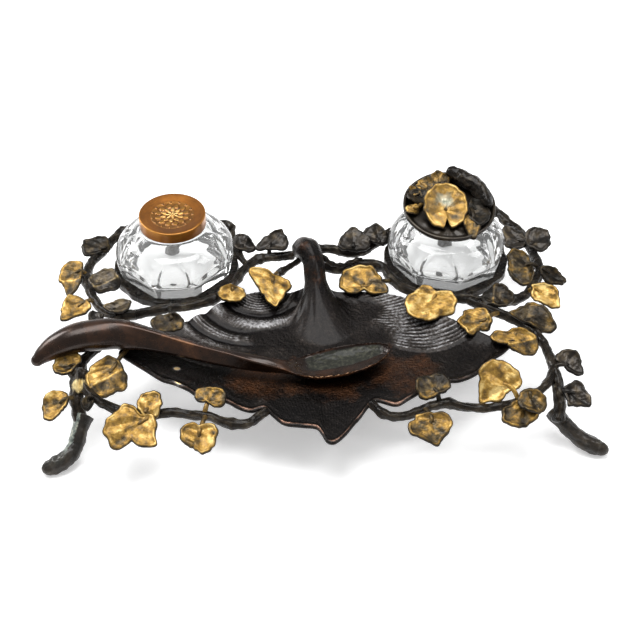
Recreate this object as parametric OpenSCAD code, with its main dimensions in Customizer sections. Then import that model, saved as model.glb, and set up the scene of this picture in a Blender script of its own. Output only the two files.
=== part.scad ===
// Desk inkstand, in millimetres, +Z up, standing on Z = 0. Ivy vines of patinated
// bronze carry a leaf-shaped pen tray with a hooked stem and two ring seats.
// Each seat holds a faceted glass inkwell with a lift-off lid, and a spoon lies
// across the tray. Every vine, leaf and foot is a casting of its own: it is coped
// to the pieces that carry it, and the braze gap is left between them.

/* [Vine frame] */
// Height of the middle of the vines above the table
frame_z = 30; // [27:1:36]
// Thickness of the main vines
vine_d = 5.6; // [4.6:0.2:6.6]
// Thickness of the thin twigs
twig_d = 3.6; // [2.6:0.2:4.4]
// Thickness of the leaf stalks
stalk_d = 2.4; // [1.8:0.2:3]
// How far a knot stands out, as a share of the vine's radius
knot = 0.14; // [0:0.02:0.2]
// Thickness of the leaves
leaf_t = 1.5; // [1:0.1:2]
// Width of the braze line between two pieces
braze_gap = 0.2; // [0.1:0.05:0.4]

/* [Feet] */
// Thickness of a foot's cut top
foot_top_d = 11; // [9:0.5:13]
// Thickness of a foot's toe
foot_toe_d = 9; // [8:0.5:11]
// Thickness of a front leg
leg_d = 6; // [5:0.2:7]

/* [Pen tray] */
// Thickness of the tray's metal
tray_t = 2.2; // [1.6:0.2:3]
// Depth of the tray below its rim
tray_depth = 5.4; // [4.5:0.1:6.5]
// Height of the raised folds that run out from the stem
rib_h = 0.5; // [0:0.1:0.8]
// Thickness of the stem where it leaves the tray
stem_d = 15; // [12:0.5:17]
// Thickness of the stem over the hook
hook_d = 9; // [7:0.5:10]

/* [Ring seats] */
// Distance between the middles of the two ring seats
ring_spacing = 164; // [162:1:168]
// Distance of the ring seats behind the middle of the stand
ring_y = 54; // [52:1:57]
// Width of the metal around an inkwell
ring_wall = 4; // [3:0.5:5]
// How far the ledge reaches in under an inkwell's flats
ledge_w = 3; // [2:0.5:5]
// Thickness of the ledge
ledge_t = 2.4; // [1.6:0.2:3]
// Depth of the seat above the ledge
seat_depth = 2.2; // [1.4:0.2:3]
// Clearance around an inkwell in its seat
seat_clear = 0.5; // [0.3:0.1:1]

/* [Inkwells] */
// Width of an inkwell over its corners, at its base
glass_base_w = 67; // [64:1:69]
// Width of an inkwell over its corners, at its widest
glass_w = 71; // [68:1:74]
// Height of an inkwell from its base to its neck
shoulder_h = 31.6; // [28:0.4:36]
// Outer diameter of the neck
neck_d = 38; // [34:0.5:40]
// Height of the left inkwell's neck
neck_h = 5.4; // [4:0.2:7]
// Height of the right inkwell's short neck
short_neck_h = 1.6; // [1.2:0.2:3]
// Diameter of the bore through the neck
bore_d = 27; // [22:0.5:30]
// Diameter of the ink space
ink_d = 57; // [50:1:59]
// Thickness of the glass under the ink
glass_floor = 6; // [4:0.5:8]

/* [Lids] */
// Clearance between a lid and the neck, all round and above it
lid_clear = 0.3; // [0.2:0.05:0.5]
// Thickness of a lid's skirt
skirt_t = 1.2; // [0.8:0.1:1.6]
// Height of a lid's skirt
skirt_h = 6.6; // [5:0.2:8]
// Thickness of a lid's plate
plate_t = 1.8; // [1.4:0.1:2.4]
// Diameter of the sunk middle of the brass cap
cap_dish_d = 27; // [22:0.5:30]
// Depth of the sunk middle of the brass cap
cap_dish_h = 0.8; // [0.4:0.1:1]
// Number of petals on the cap's rosette
petals = 8; // [6:1:10]
// Diameter of the bronze lily-pad lid
pad_d = 55; // [50:1:58]
// Slope of the lily pad towards the front
pad_tilt = 11; // [6:1:12]
// Height of the lily pad's rim above its plate
pad_rim = 1.6; // [1:0.1:2.4]
// Depth of the lily-pad lid's spigot in the bore
spigot_h = 4; // [3:0.5:6]

/* [Spoon] */
// Thickness of the spoon's bowl
bowl_t = 1.6; // [1.2:0.1:2.2]
// Depth of the spoon's bowl
bowl_depth = 5; // [3:0.5:6]
// Height of the spoon's lowest point above the table
spoon_z = 24.4; // [24:0.1:28]

/* [Hidden] */

bronze = "#2e2620";
olive = "#5c5234";
gilt = "#c8a254";
brass = "#a5672c";
glass = "#dfe6e4";
tray_bronze = "#3a2a22";
spoon_bronze = "#463630";

vine_r = vine_d / 2;
twig_r = twig_d / 2;
// Sides of a swept vine, and of a stalk
vine_sides = 8;
stalk_sides = 6;
// How deep a vine is let into a ring seat that it hugs
bite = 0.6;
// Radii that follow from the inkwell: its way up, its seat, and a ring whose vines
// stand clear of the way up
way_r = glass_w / 2 + seat_clear;
seat_r = glass_base_w / 2 + seat_clear;
ring_r = max(seat_r + ring_wall, way_r + seat_clear + bite);
ledge_r = glass_base_w / 2 * cos(22.5) - ledge_w;
ledge_z = frame_z - ledge_t / 2;
ring_x = ring_spacing / 2;
// Heights that follow from the ledge
neck_z = ledge_z + shoulder_h;
plate_z = neck_z + neck_h + lid_clear;
skirt_r = neck_d / 2 + lid_clear + skirt_t;
short_top = neck_z + short_neck_h;
// Middle of the lily pad's upper face: its front underside just clears the neck
pad_z = short_top + lid_clear + plate_t + skirt_r * sin(pad_tilt);
// Turn of each inkwell about its own axis
turn_left = 23.5;
turn_right = 6.7;

// ---- Vectors, splines and sweeps ----

function unit(v) = v / norm(v);
function mix(a, b, t) = a + (b - a) * t;

// Catmull-Rom point at share t of the way from b to c
function spline(a, b, c, d, t) =
    (2 * b + (c - a) * t + (2 * a - 5 * b + 4 * c - d) * t * t
        + (3 * b - a - 3 * c + d) * t * t * t) / 2;

// Route through the points of pts, with n steps between each two
function smooth(pts, n = 2) = let (last = len(pts) - 1) concat(
    [for (i = [0 : last - 1], k = [0 : n - 1])
        spline(pts[max(i - 1, 0)], pts[i], pts[i + 1], pts[min(i + 2, last)], k / n)],
    [pts[last]]);

// Direction of a path at its point i
function along(path, i) =
    unit(path[min(i + 1, len(path) - 1)] - path[max(i - 1, 0)]);

// Tube along path with its own radius at each point. up is the direction that
// the section keeps in its upright plane, and flat scales the section that way.
module sweep(path, radii, sides, up = [0, 0, 1], flat = 1) {
    last = len(path) - 1;
    points = [for (i = [0 : last])
        let (t = along(path, i), s = unit(cross(up, t)), n = cross(t, s))
        for (k = [0 : sides - 1])
            let (a = 360 * k / sides)
            path[i] + radii[i] * (s * cos(a) + n * sin(a) * flat)];
    function at(i, k) = i * sides + k % sides;
    walls = [for (i = [0 : last - 1], k = [0 : sides - 1], half = [0, 1])
        half == 0 ? [at(i, k), at(i + 1, k), at(i + 1, k + 1)]
                  : [at(i, k), at(i + 1, k + 1), at(i, k + 1)]];
    caps = [[for (k = [0 : sides - 1]) k], [for (k = [sides - 1 : -1 : 0]) at(last, k)]];
    polyhedron(points, concat(walls, caps));
}

// One casting: its children flow into one skin
module casting() resize([0, 0, 0]) union() children();

// ---- Vines ----

// Point of a vine that hugs a ring seat: side is -1 or 1, a the angle round it,
// and out how far the vine stands off there
function hug(side, a, dz = 0, out = 0) =
    [side * ring_x, ring_y, frame_z + dz]
    + (ring_r + vine_r - bite + out) * [cos(a), sin(a), 0];

// The same point as [x, y, height over frame_z]
function beside(side, a, dz, out) = hug(side, a, dz, out) - [0, 0, frame_z];

// Route points [x, y, height over frame_z] lifted to their place
function lift(pts) = [for (p = pts) [p.x, p.y, p.z + frame_z]];

// Radius along a vine of radius r with n rings: knots, and ends a little thinner
function bark(r, n) = [for (i = [0 : n - 1])
    let (swell = pow(max(0, cos(51 * i)), 4), end = min(i, n - 1 - i))
    r * (1 + knot * swell) * (end == 0 ? 0.86 : 1)];

left_outer = smooth(lift([
    [-116, 90, 1], [-123, 79, 0.5], [-128, 69, 0], [-133, 59, 1], [-135, 49, 0.5],
    [-135, 39, 0], [-132, 30, 1], [-128, 20, 0.5], [-122, 12, 0], [-114, 8, 0.5],
    [-105, 8, 0]]));
left_inner = smooth(concat(
    lift([[-107, 8, 0], [-99, 10, 0]]),
    [hug(-1, -94), hug(-1, -76), hug(-1, -58), hug(-1, -40, 0.5), hug(-1, -24, 1),
        hug(-1, -12.5, 1, 0.8), hug(-1, -2.5, 1, 4.8), hug(-1, 3.5, 1, 11.9),
        mix(hug(-1, 3.5, 1, 11.9), [-11, 58, frame_z + 2], 0.53)],
    lift([[-11, 58, 2]])));
left_back = smooth(concat(
    lift([[-48, 86, 3], [-53, 92, 2]]),
    [hug(-1, 62, 1), hug(-1, 78, 0.5), hug(-1, 94), hug(-1, 112)],
    lift([[-107, 95, 0], [-116, 90, 0]])));
left_lower = smooth(lift([
    [-113, 8, 0], [-117, -3, 0.5], [-122, -12, 0], [-127, -22, 0], [-132, -32, 0],
    [-136, -43, 0]]));
left_front = smooth(lift([
    [-132, -30, -1], [-131, -40, -1], [-129, -50, -1], [-125, -58, 0], [-118, -65, 0],
    [-109, -71, 0], [-100, -74, 0], [-90, -75, 0], [-80, -74, 0], [-70, -76, 0],
    [-60, -78, 0], [-52, -82, -1], [-44, -84, -1], [-37, -81, -1], [-30, -74, -1]]));
right_outer = smooth(concat(
    lift([[118, 98, 3], [122, 91, 2], [126, 84, 1], [131, 76, 1], [134, 67, 0],
        [136, 57, 0], [137, 48, 0], [137, 40, 1], [135, 31, 0.5], [131, 23, 0],
        [124, 15, 0], [116, 11, 0], [107, 10, 0], [99, 11.5, 0]]),
    [hug(1, -84), hug(1, -98)]));
right_back = smooth(concat(
    lift([[6, 62, 3], [15, 62, 2], [24, 59, 1], [33, 62, 1], [42, 70, 1], [49, 78, 1]]),
    [hug(1, 130), hug(1, 108), hug(1, 88), hug(1, 68)],
    lift([[111, 95, 0], [121, 97, 1]])));
right_inner = smooth(concat(
    lift([[7, 43, 4], [16, 42, 2], [24, 47, 0], [32, 50, 0]]),
    [hug(1, -168), hug(1, -152), hug(1, -134), hug(1, -116), hug(1, -99)]));
right_lower = smooth(concat(
    [hug(1, -78, 0.3, 3.3), hug(1, -70, 0, 12), hug(1, -64.5, 0, 20.7)],
    lift([[116, -8, 0], [122, -15, 0], [127, -24, 0], [129, -33, 0], [130, -43, 0],
        [130, -53, 0]])));
right_front = smooth(lift([
    [130, -50, 0], [125, -60, 0], [119, -67, 0], [112, -72, 0], [104, -76, 0],
    [95, -78, 0], [85, -79, 0], [76, -77, 0], [69, -74, 0], [62, -75, 0],
    [54, -78, 0], [46, -81, -1], [38, -82, -1], [32, -78, -1], [27, -71, -1]]));
hook_twig = smooth(lift([[-3, 57, 4], [-8, 51, 3], [-14, 45, 3], [-21, 39, 3]]));
back_twig = smooth([
    hug(-1, 40.5, 2, 4.4), hug(-1, 27.5, 1, -0.7), hug(-1, 12, 0.5, -1.3),
    hug(-1, -2.5, 1, 1.8)]);
left_tip_twig = smooth(lift([[-122, -12, 0], [-115, -17, 0.6], [-109, -22, 1.5], [-107, -24, 1.5]]));
right_tip_twig = smooth(lift([[127, -24, 0], [119, -27, 1], [112, -30, 3], [106, -31, 3.4]]));
leg_left = smooth(lift([
    [-135, -41, 0], [-137, -48, -2], [-137, -54, -6], [-136, -60, -10], [-133, -66, -15]]));
leg_right = smooth(lift([
    [130, -51, 0], [131, -58, -3], [131, -64, -6], [131, -70, -10], [130, -75, -15]]));
// A foot's route is [x, y, height over the table]
toe_z = foot_toe_d / 2 - 0.4;
foot_left = smooth([
    [-131, -62, frame_z - 12], [-132, -68, frame_z - 16], [-134, -75, toe_z + 5],
    [-138, -81, toe_z + 1.5], [-144, -85, toe_z], [-152, -85, toe_z]]);
foot_right = smooth([
    [130, -69, frame_z - 12], [132, -75, frame_z - 16], [137, -80, toe_z + 5],
    [143, -84, toe_z + 1.5], [150, -86, toe_z], [157, -87, toe_z]]);
back_foot_left = smooth([
    hug(-1, 96, -2), hug(-1, 96, -12) + [0, 1, 0], [-87, 96, toe_z + 5],
    [-88, 98, toe_z], [-89, 103.5, toe_z]]);
back_foot_right = smooth([
    hug(1, 84, -2), hug(1, 84, -12) + [0, 1, 0], [87, 96, toe_z + 5],
    [88, 98, toe_z], [89, 103.5, toe_z]]);

// [route, radius] of each swept piece: each is coped to those listed before it
VINES = [
    [left_outer, vine_r], [left_inner, vine_r], [left_lower, vine_r],
    [left_front, vine_r * 0.85], [right_outer, vine_r], [right_back, vine_r],
    [right_inner, vine_r], [right_lower, vine_r], [right_front, vine_r * 0.85],
    [left_back, vine_r], [hook_twig, twig_r], [back_twig, twig_r],
    [left_tip_twig, twig_r], [right_tip_twig, twig_r],
    [leg_left, leg_d / 2], [leg_right, leg_d / 2]];

module branch(v, grow = 0) {
    path = v[0];
    radii = bark(v[1], len(path));
    sweep(path, [for (r = radii) r + grow], vine_sides);
}

// What a piece is coped to: the vines before number upto, the rings, the space of
// the inkwells and the tray, each one braze line larger
module carriers(upto) {
    for (i = [0 : 1 : upto - 1]) branch(VINES[i], braze_gap);
    for (side = [-1, 1])
        translate([side * ring_x, ring_y, ledge_z - ledge_t - braze_gap]) {
            cylinder(h = ledge_t + seat_depth + 2 * braze_gap, r = ring_r + braze_gap,
                $fn = 96);
            // The way up for the inkwell
            cylinder(h = 2 * shoulder_h, r = way_r, $fn = 64);
        }
    tray_and_stem(braze_gap);
}

module vine(i) color(bronze) casting() difference() {
    branch(VINES[i]);
    carriers(i);
}

module vine_left_outer() vine(0);
module vine_left_inner() vine(1);
module vine_left_lower() vine(2);
module vine_left_front() vine(3);
module vine_right_outer() vine(4);
module vine_right_back() vine(5);
module vine_right_inner() vine(6);
module vine_right_lower() vine(7);
module vine_right_front() vine(8);
module vine_left_back() vine(9);
module twig_hook() vine(10);
module twig_back_left() vine(11);
module twig_left_tip() vine(12);
module twig_right_tip() vine(13);
module leg_front_left() vine(14);
module leg_front_right() vine(15);

// A foot is a thick cut branch: a flat top, a rounded toe and a flat sole
module foot(path) color(bronze) casting() difference() {
    last = len(path) - 1;
    radii = [for (i = [0 : last])
        i == last ? foot_toe_d * 0.28 : mix(foot_top_d, foot_toe_d, i / last) / 2];
    sweep(path, radii, 10);
    carriers(len(VINES));
    translate([0, 0, -foot_top_d / 2]) cube([400, 400, foot_top_d], center = true);
}

module foot_front_left() foot(foot_left);
module foot_front_right() foot(foot_right);
module foot_back_left() foot(back_foot_left);
module foot_back_right() foot(back_foot_right);

// ---- Leaves ----

// Half of a leaf's outline from the notch at its stalk to its tip, as shares of
// its length and width: a heart-shaped leaf, and an ivy leaf with side lobes
heart = [[0.05, 0], [-0.05, 0.17], [0.02, 0.38], [0.17, 0.49], [0.36, 0.47],
    [0.54, 0.38], [0.72, 0.25], [0.88, 0.11], [1, 0]];
ivy = [[0.05, 0], [-0.06, 0.18], [-0.01, 0.38], [0.14, 0.42], [0.27, 0.38],
    [0.42, 0.52], [0.56, 0.31], [0.78, 0.16], [1, 0]];

// Round leaf with a slit at its stalk
lily = [[0.3, 0], [0.02, 0.05], [0.03, 0.3], [0.18, 0.45], [0.42, 0.5], [0.66, 0.45],
    [0.86, 0.31], [0.97, 0.15], [1, 0]];

// Half outline between heart-shaped at lobed = 0 and ivy at lobed = 1
function form(lobed) = [for (i = [0 : len(heart) - 1]) mix(heart[i], ivy[i], lobed)];

// Full outline of a leaf from its half outline
function outline(length, width, half) =
    let (last = len(half) - 1)
    [for (i = [0 : 2 * last - 1])
        let (p = i <= last ? half[i] : half[2 * last - i], side = i <= last ? 1 : -1)
        [p.x * length, side * p.y * width]];

// A leaf's blade with its stalk end at the origin and its midrib along +X. cup
// lifts the sides and droop lowers the tip, both in millimetres.
module blade(length, width, half, cup, droop) {
    edge = outline(length, width, half);
    n = len(edge);
    middle = [0.42 * length, 0];
    function skin(p, z) =
        [p.x, p.y, z + cup * pow(2 * p.y / width, 2) - droop * pow(p.x / length, 2)];
    function layer(z) = concat(
        [skin(middle, z)],
        [for (p = edge) skin(mix(middle, p, 0.55), z)],
        [for (p = edge) skin(p, z)]);
    size = 1 + 2 * n;
    function inner(k) = 1 + k % n;
    function outer(k) = 1 + n + k % n;
    top = [for (k = [0 : n - 1], part = [0 : 2])
        part == 0 ? [0, inner(k), inner(k + 1)]
        : part == 1 ? [inner(k), outer(k), outer(k + 1)]
        : [inner(k), outer(k + 1), inner(k + 1)]];
    under = [for (f = top) [f[2] + size, f[1] + size, f[0] + size]];
    rim = [for (k = [0 : n - 1], half = [0, 1])
        half == 0 ? [outer(k), outer(k) + size, outer(k + 1) + size]
                  : [outer(k), outer(k + 1) + size, outer(k + 1)]];
    polyhedron(concat(layer(leaf_t / 2), layer(-leaf_t / 2)), concat(top, under, rim));
}

// Nearest point of a path to p
function nearest(path, p) =
    let (d = [for (q = path) norm(q - p)], best = min(d))
    [for (i = [0 : len(path) - 1]) if (d[i] == best) path[i]][0];

// One leaf: [x, y, height over frame_z] of its base, then heading, pitch and roll
// in degrees, length, width, lobed, cup and droop. Its stalk runs from the
// surface of vine v to its base and on under the blade as the midrib.
module leaf(v, base, turn, length, width, lobed = 0.5, cup = 1, droop = 2) {
    aim = base + [0, 0, frame_z];
    foot = nearest(v[0], aim);
    reach = v[1] * (1 + knot) + braze_gap;
    out = unit(aim - foot);
    root = foot + out * reach;
    start = foot + out * max(norm(aim - foot), reach + stalk_d);
    head = turn[0];
    pitch = turn[1];
    rib = [cos(head) * cos(pitch), sin(head) * cos(pitch), sin(pitch)];
    bend = cross(out, rib);
    up = norm(bend) < 0.05 ? cross(out, [1, 0, 0]) : bend;
    translate(start)
        rotate([turn[2], -pitch, head])
            blade(length, width, form(lobed), cup, droop);
    sweep([root, mix(root, start, 0.5), start, start + rib * length * 0.3],
        stalk_d / 2 * [1, 0.9, 0.85, 0.5], stalk_sides, up);
}

// Leaves of one node, trimmed where they would touch a vine, a ring or the tray
module foliage(tint) color(tint) for (i = [0 : $children - 1]) casting() difference() {
    children(i);
    carriers(len(VINES));
}

module leaves_left_outer() foliage(gilt) {
    leaf(VINES[0], [-121, 65, 4], [176, 6, 0], 20, 18, 0.3);
    leaf(VINES[0], [-137, 49, 3], [-128, 4, 0], 22, 17, 0.8);
    leaf(VINES[0], [-135, 22, 2], [-128, 2, 0], 20, 16, 0.4);
}
module leaves_left_inner() foliage(olive) {
    leaf(VINES[0], [-130, 30, 4], [38, 10, 0], 20, 15, 0.5);
    leaf(VINES[0], [-121, 8, 5], [20, 6, 0], 16, 12, 0.4);
    leaf(VINES[2], [-124, 0, 3], [126, 8, 0], 8, 7, 0);
}
module leaves_left_ring() foliage(gilt) {
    leaf(VINES[1], beside(-1, -92.4, 5, 6.8), [-95, 2, 0], 18, 22, 0.3);
    leaf(VINES[1], beside(-1, -34.4, 4, 2.2), [-106, 4, 0], 18, 17, 0.6);
}
module leaf_stem_left() foliage(gilt)
    leaf(VINES[10], [-21, 38.5, 6], [-94, 2, 0], 31, 25, 0.9);
module leaves_back_left() foliage(olive) {
    leaf(VINES[11], beside(-1, 9.5, 4, 1.4), [104, 16, 0], 16, 14, 0.2);
    leaf(VINES[1], beside(-1, 8.8, 4, 12.4), [44, 16, 0], 21, 18, 0.3);
}
module leaves_back_right() foliage(olive) {
    leaf(VINES[5], beside(1, 175.8, 4, 15), [98, 12, 0], 19, 17, 0.3);
    leaf(VINES[5], beside(1, 166.6, 4, 3), [86, 14, 0], 18, 15, 0.3);
}
module leaf_stem_right() foliage(gilt)
    leaf(VINES[6], [30, 41, 5], [-88, 1, 0], 26, 30, 0.6, 1.5, 2);
module leaves_right_ring() foliage(gilt) {
    leaf(VINES[4], [72, 11, 6], [-128, 2, 0], 27, 28, 1);
    leaf(VINES[4], [98, 7, 5], [8, 6, 0], 18, 15, 0.3);
}
module leaves_right_middle() foliage(gilt) {
    leaf(VINES[7], [96, -4, 4], [-121, 0, 0], 24, 17, 0.5);
    leaf(VINES[7], [118, -3, 4], [-48, 6, 0], 26, 17, 0.5);
}
module leaf_right_tip() foliage(gilt)
    leaf(VINES[13], [124, -32, 5], [178, 2, 0], 27, 20, 0.9);
module leaf_right_big() foliage(gilt)
    leaf(VINES[8], [103, -70, 5], [138, 16, 0], 28, 26, 1);
module leaves_front_right() foliage(gilt) {
    leaf(VINES[8], [62, -70, 5], [120, 18, 0], 17, 20, 0.5);
    leaf(VINES[8], [57, -83, 2], [-94, -4, 0], 21, 24, 0.8);
}
module leaves_right_corner() foliage(olive) {
    leaf(VINES[8], [110, -79, 0], [-122, -6, 0], 18, 20, 0.5);
    leaf(VINES[8], [115, -72, 5], [-72, 2, 0], 13, 13, 0.3);
}
module leaves_right_leg() foliage(olive) {
    leaf(VINES[7], [133, -46, 1], [-28, 6, 0], 14, 17, 0);
    leaf(VINES[15], [135, -63, -5], [-34, 4, 0], 14, 17, 0.2);
}
module leaves_right_outer() foliage(gilt) {
    leaf(VINES[4], [132, 18, 5], [-62, 4, 0], 22, 16, 0.4);
    leaf(VINES[4], [138, 30, 3], [-34, 4, 0], 14, 14, 0.3);
    leaf(VINES[4], [126, 50, 4], [-86, 2, 0], 28, 16, 0.4);
}
module leaves_right_back() foliage(olive) {
    leaf(VINES[4], [135, 65, 4], [-46, 6, 0], 16, 17, 0.2);
    leaf(VINES[4], [127, 61, 4], [116, 10, 0], 18, 15, 0.2);
}
module leaves_left_leg() foliage(gilt) {
    leaf(VINES[2], [-134, -39, 2], [-150, 2, 0], 14, 15, 0.2);
    leaf(VINES[14], [-141, -54, -2], [-108, 0, 0], 19, 16, 0.4);
}
module leaf_left_tip() foliage(gilt)
    leaf(VINES[12], [-113, -31, 2.4], [-122, -6, 0], 29, 24, 0.6, -2, 3);
module leaf_left_big() foliage(gilt)
    leaf(VINES[3], [-100, -78, 2.5], [-100, -3, 0], 24, 29, 1);
module leaves_front_left() foliage(gilt) {
    leaf(VINES[3], [-90, -74, 5.5], [97, -10, 0], 14, 14, 0.2, 1, 0);
    leaf(VINES[3], [-61, -75, 4], [70, 12, 0], 15, 17, 0.3);
    leaf(VINES[3], [-66, -83, 1], [-90, -4, 0], 21, 20, 0.4);
    leaf(VINES[3], [-125, -61, 3], [-95, 0, 0], 9, 6, 0);
}

// ---- Pen tray ----

// The tray's back and front edges, as y at each x
tray_back = [
    [-111, -26], [-103, -20], [-95, -15], [-85, -9], [-76, -3], [-68, 3], [-62, 7],
    [-54, 15], [-48, 19], [-41, 21], [-31, 24], [-21, 23], [-14, 22], [-8, 26],
    [0, 28], [8, 26], [14, 22], [28, 21], [44, 17], [53, 13], [64, 4], [75, -5],
    [82, -11], [92, -19], [100, -25], [108, -30]];
tray_front = [
    [-111, -28], [-103, -35], [-95, -42], [-87, -49], [-80, -52], [-72, -57], [-64, -64],
    [-52, -66], [-45, -71], [-38, -74], [-31, -72], [-26, -78], [-21, -82], [-12, -85],
    [-5, -87], [-1, -93], [4, -98], [9, -94], [14, -89], [20, -81], [25, -73], [30, -69],
    [40, -73], [47, -69], [54, -64], [61, -59], [68, -57], [77, -57], [87, -52], [95, -43],
    [103, -37], [108, -32]];
// Stations across the tray, closer at the notches and the front tip
tray_x = [-111, -106, -101, -95, -88, -80, -72, -64, -58, -52, -45, -38, -31, -26, -21,
    -14, -8, -3, 1, 4, 7, 10, 15, 20, 25, 30, 35, 41, 47, 54, 61, 68, 77, 84, 90, 96, 102,
    108];
tray_rows = 10;
tray_half = 110;

// Height of the tray's upper face at share v of the way from its back edge to its
// front edge: the rim rises towards the tips, the middle sinks, and low folds run
// out from the stem
function tray_z(x, v) =
    let (side = min(1, abs(x) / tray_half),
        rim = mix(frame_z + 1 + 2 * side, frame_z - 1 + 4 * side * side, v),
        bowl = tray_depth * pow(1 - side * side, 0.7) * pow(4 * v * (1 - v), 0.8),
        folds = rib_h * cos(7 * x) * 4 * v * (1 - v))
    rim - bowl + folds;

module tray_shell(grow = 0) {
    last = len(tray_x) - 1;
    across = tray_rows + 1;
    function point(i, j, z) =
        let (x = tray_x[i] + (i == 0 ? -grow : i == last ? grow : 0), v = j / tray_rows,
            back = lookup(tray_x[i], tray_back) + grow,
            front = lookup(tray_x[i], tray_front) - grow)
        [x, mix(back, front, v), tray_z(tray_x[i], v) + z];
    function layer(z) = [for (i = [0 : last], j = [0 : tray_rows]) point(i, j, z)];
    size = (last + 1) * across;
    function at(i, j) = i * across + j;
    top = [for (i = [0 : last - 1], j = [0 : tray_rows - 1], half = [0, 1])
        half == 0 ? [at(i, j), at(i + 1, j), at(i + 1, j + 1)]
                  : [at(i, j), at(i + 1, j + 1), at(i, j + 1)]];
    under = [for (f = top) [f[2] + size, f[1] + size, f[0] + size]];
    border = concat(
        [for (j = [0 : tray_rows]) at(0, j)],
        [for (i = [1 : last]) at(i, tray_rows)],
        [for (j = [tray_rows - 1 : -1 : 0]) at(last, j)],
        [for (i = [last - 1 : -1 : 1]) at(i, 0)]);
    n = len(border);
    wall = [for (k = [0 : n - 1], half = [0, 1])
        let (a = border[k], b = border[(k + 1) % n])
        half == 0 ? [a, b, b + size] : [a, b + size, a + size]];
    polyhedron(concat(layer(1.3 * grow), layer(-tray_t - 1.3 * grow)),
        concat(top, under, wall));
}

// The stem rises from the back of the tray, leans back and curls over to the left
stem_route = smooth([
    [0, 8, frame_z - 3], [0, 18, frame_z], [0, 24, frame_z + 5], [0, 29, frame_z + 10],
    [-1, 34, frame_z + 15], [-2, 40, frame_z + 19], [-5, 47, frame_z + 19],
    [-7, 52, frame_z + 14], [-8, 55, frame_z + 8], [-8, 57, frame_z + 3]]);

module stem(grow = 0) {
    last = len(stem_route) - 1;
    function thick(i) = i < 8 ? mix(stem_d, hook_d, i / 8)
        : mix(hook_d, hook_d * 0.7, (i - 8) / (last - 8));
    sweep(stem_route, [for (i = [0 : last]) thick(i) / 2 + grow], 12, [1, 0, 0]);
}

module tray_and_stem(grow = 0) {
    tray_shell(grow);
    stem(grow);
}

module pen_tray() color(tray_bronze) casting() tray_and_stem();

// ---- Ring seats ----

// An open ring with a ledge that carries the foot of an inkwell
module ring(side) color(bronze)
    translate([side * ring_x, ring_y, ledge_z])
        rotate_extrude($fn = 96)
            polygon([[ledge_r, -ledge_t], [ring_r, -ledge_t], [ring_r, seat_depth - 0.6],
                [ring_r - 0.6, seat_depth], [seat_r, seat_depth], [seat_r, 0],
                [ledge_r, 0]]);

module ring_left() ring(-1);
module ring_right() ring(1);

// ---- Inkwells ----

// Eight-sided glass with a round shoulder line, a round neck and a round ink space
module inkwell(side, turn, neck) color(glass, 0.5)
    translate([side * ring_x, ring_y, ledge_z + lid_clear]) {
        base_r = glass_base_w / 2;
        wide_r = glass_w / 2;
        neck_r = neck_d / 2;
        top = shoulder_h - lid_clear;
        difference() {
            union() {
                rotate(turn) rotate_extrude($fn = 8)
                    polygon([[0, 0], [base_r - 0.8, 0], [base_r, 1], [wide_r - 0.6, top * 0.2],
                        [wide_r, top * 0.37], [wide_r - 0.8, top * 0.52],
                        [mix(neck_r, wide_r, 0.78), top * 0.7],
                        [mix(neck_r, wide_r, 0.48), top * 0.86], [neck_r - 0.7, top - 0.5],
                        [neck_r - 2, top - 0.2], [0, top - 0.2]]);
                translate([0, 0, top - 4]) cylinder(h = 4 + neck, d = neck_d, $fn = 96);
            }
            rotate_extrude($fn = 96)
                polygon([[0, glass_floor], [ink_d / 2 - 4, glass_floor],
                    [ink_d / 2 - 1, glass_floor + 1.6], [ink_d / 2, glass_floor + 5],
                    [ink_d / 2 - 1, top * 0.5], [ink_d / 2 - 5, top * 0.68],
                    [bore_d / 2 + 3, top * 0.84], [bore_d / 2, top * 0.95],
                    [bore_d / 2, top + neck + 1], [0, top + neck + 1]]);
        }
    }

module inkwell_left() inkwell(-1, turn_left, neck_h);
module inkwell_right() inkwell(1, turn_right, short_neck_h);

// ---- Lids ----

// Round brass cap: a skirt round the neck and a plate with a sunk middle
module cap_left() color(brass)
    translate([-ring_x, ring_y, plate_z])
        rotate_extrude($fn = 96)
            polygon([[0, 0], [neck_d / 2 + lid_clear, 0],
                [neck_d / 2 + lid_clear, plate_t - skirt_h],
                [skirt_r, plate_t - skirt_h], [skirt_r, plate_t - 0.5],
                [skirt_r - 0.5, plate_t], [cap_dish_d / 2 + 0.6, plate_t],
                [cap_dish_d / 2, plate_t - cap_dish_h], [0, plate_t - cap_dish_h]]);

// Rosette soldered in the cap's sunk middle: two rows of petals round a button
module cap_rosette() color(gilt)
    translate([-ring_x, ring_y, plate_z + plate_t - cap_dish_h]) {
        reach = cap_dish_d / 2 - 1;
        cylinder(h = 0.8, r = reach * 0.5, $fn = 48);
        cylinder(h = 1.8, r = reach * 0.24, $fn = 48);
        for (i = [0 : petals - 1]) {
            rotate(360 * i / petals) translate([reach * 0.68, 0, 0])
                cylinder(h = 0.8, r = reach * 0.3, $fn = 32);
            rotate(360 * (i + 0.5) / petals) translate([reach * 0.4, 0, 0])
                cylinder(h = 1.3, r = reach * 0.2, $fn = 32);
        }
    }

// Puts its children on the sloping face of the lily pad
module on_pad(z = 0)
    translate([ring_x, ring_y, pad_z]) rotate([pad_tilt, 0, 0])
        translate([0, 0, z]) children();

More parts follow.
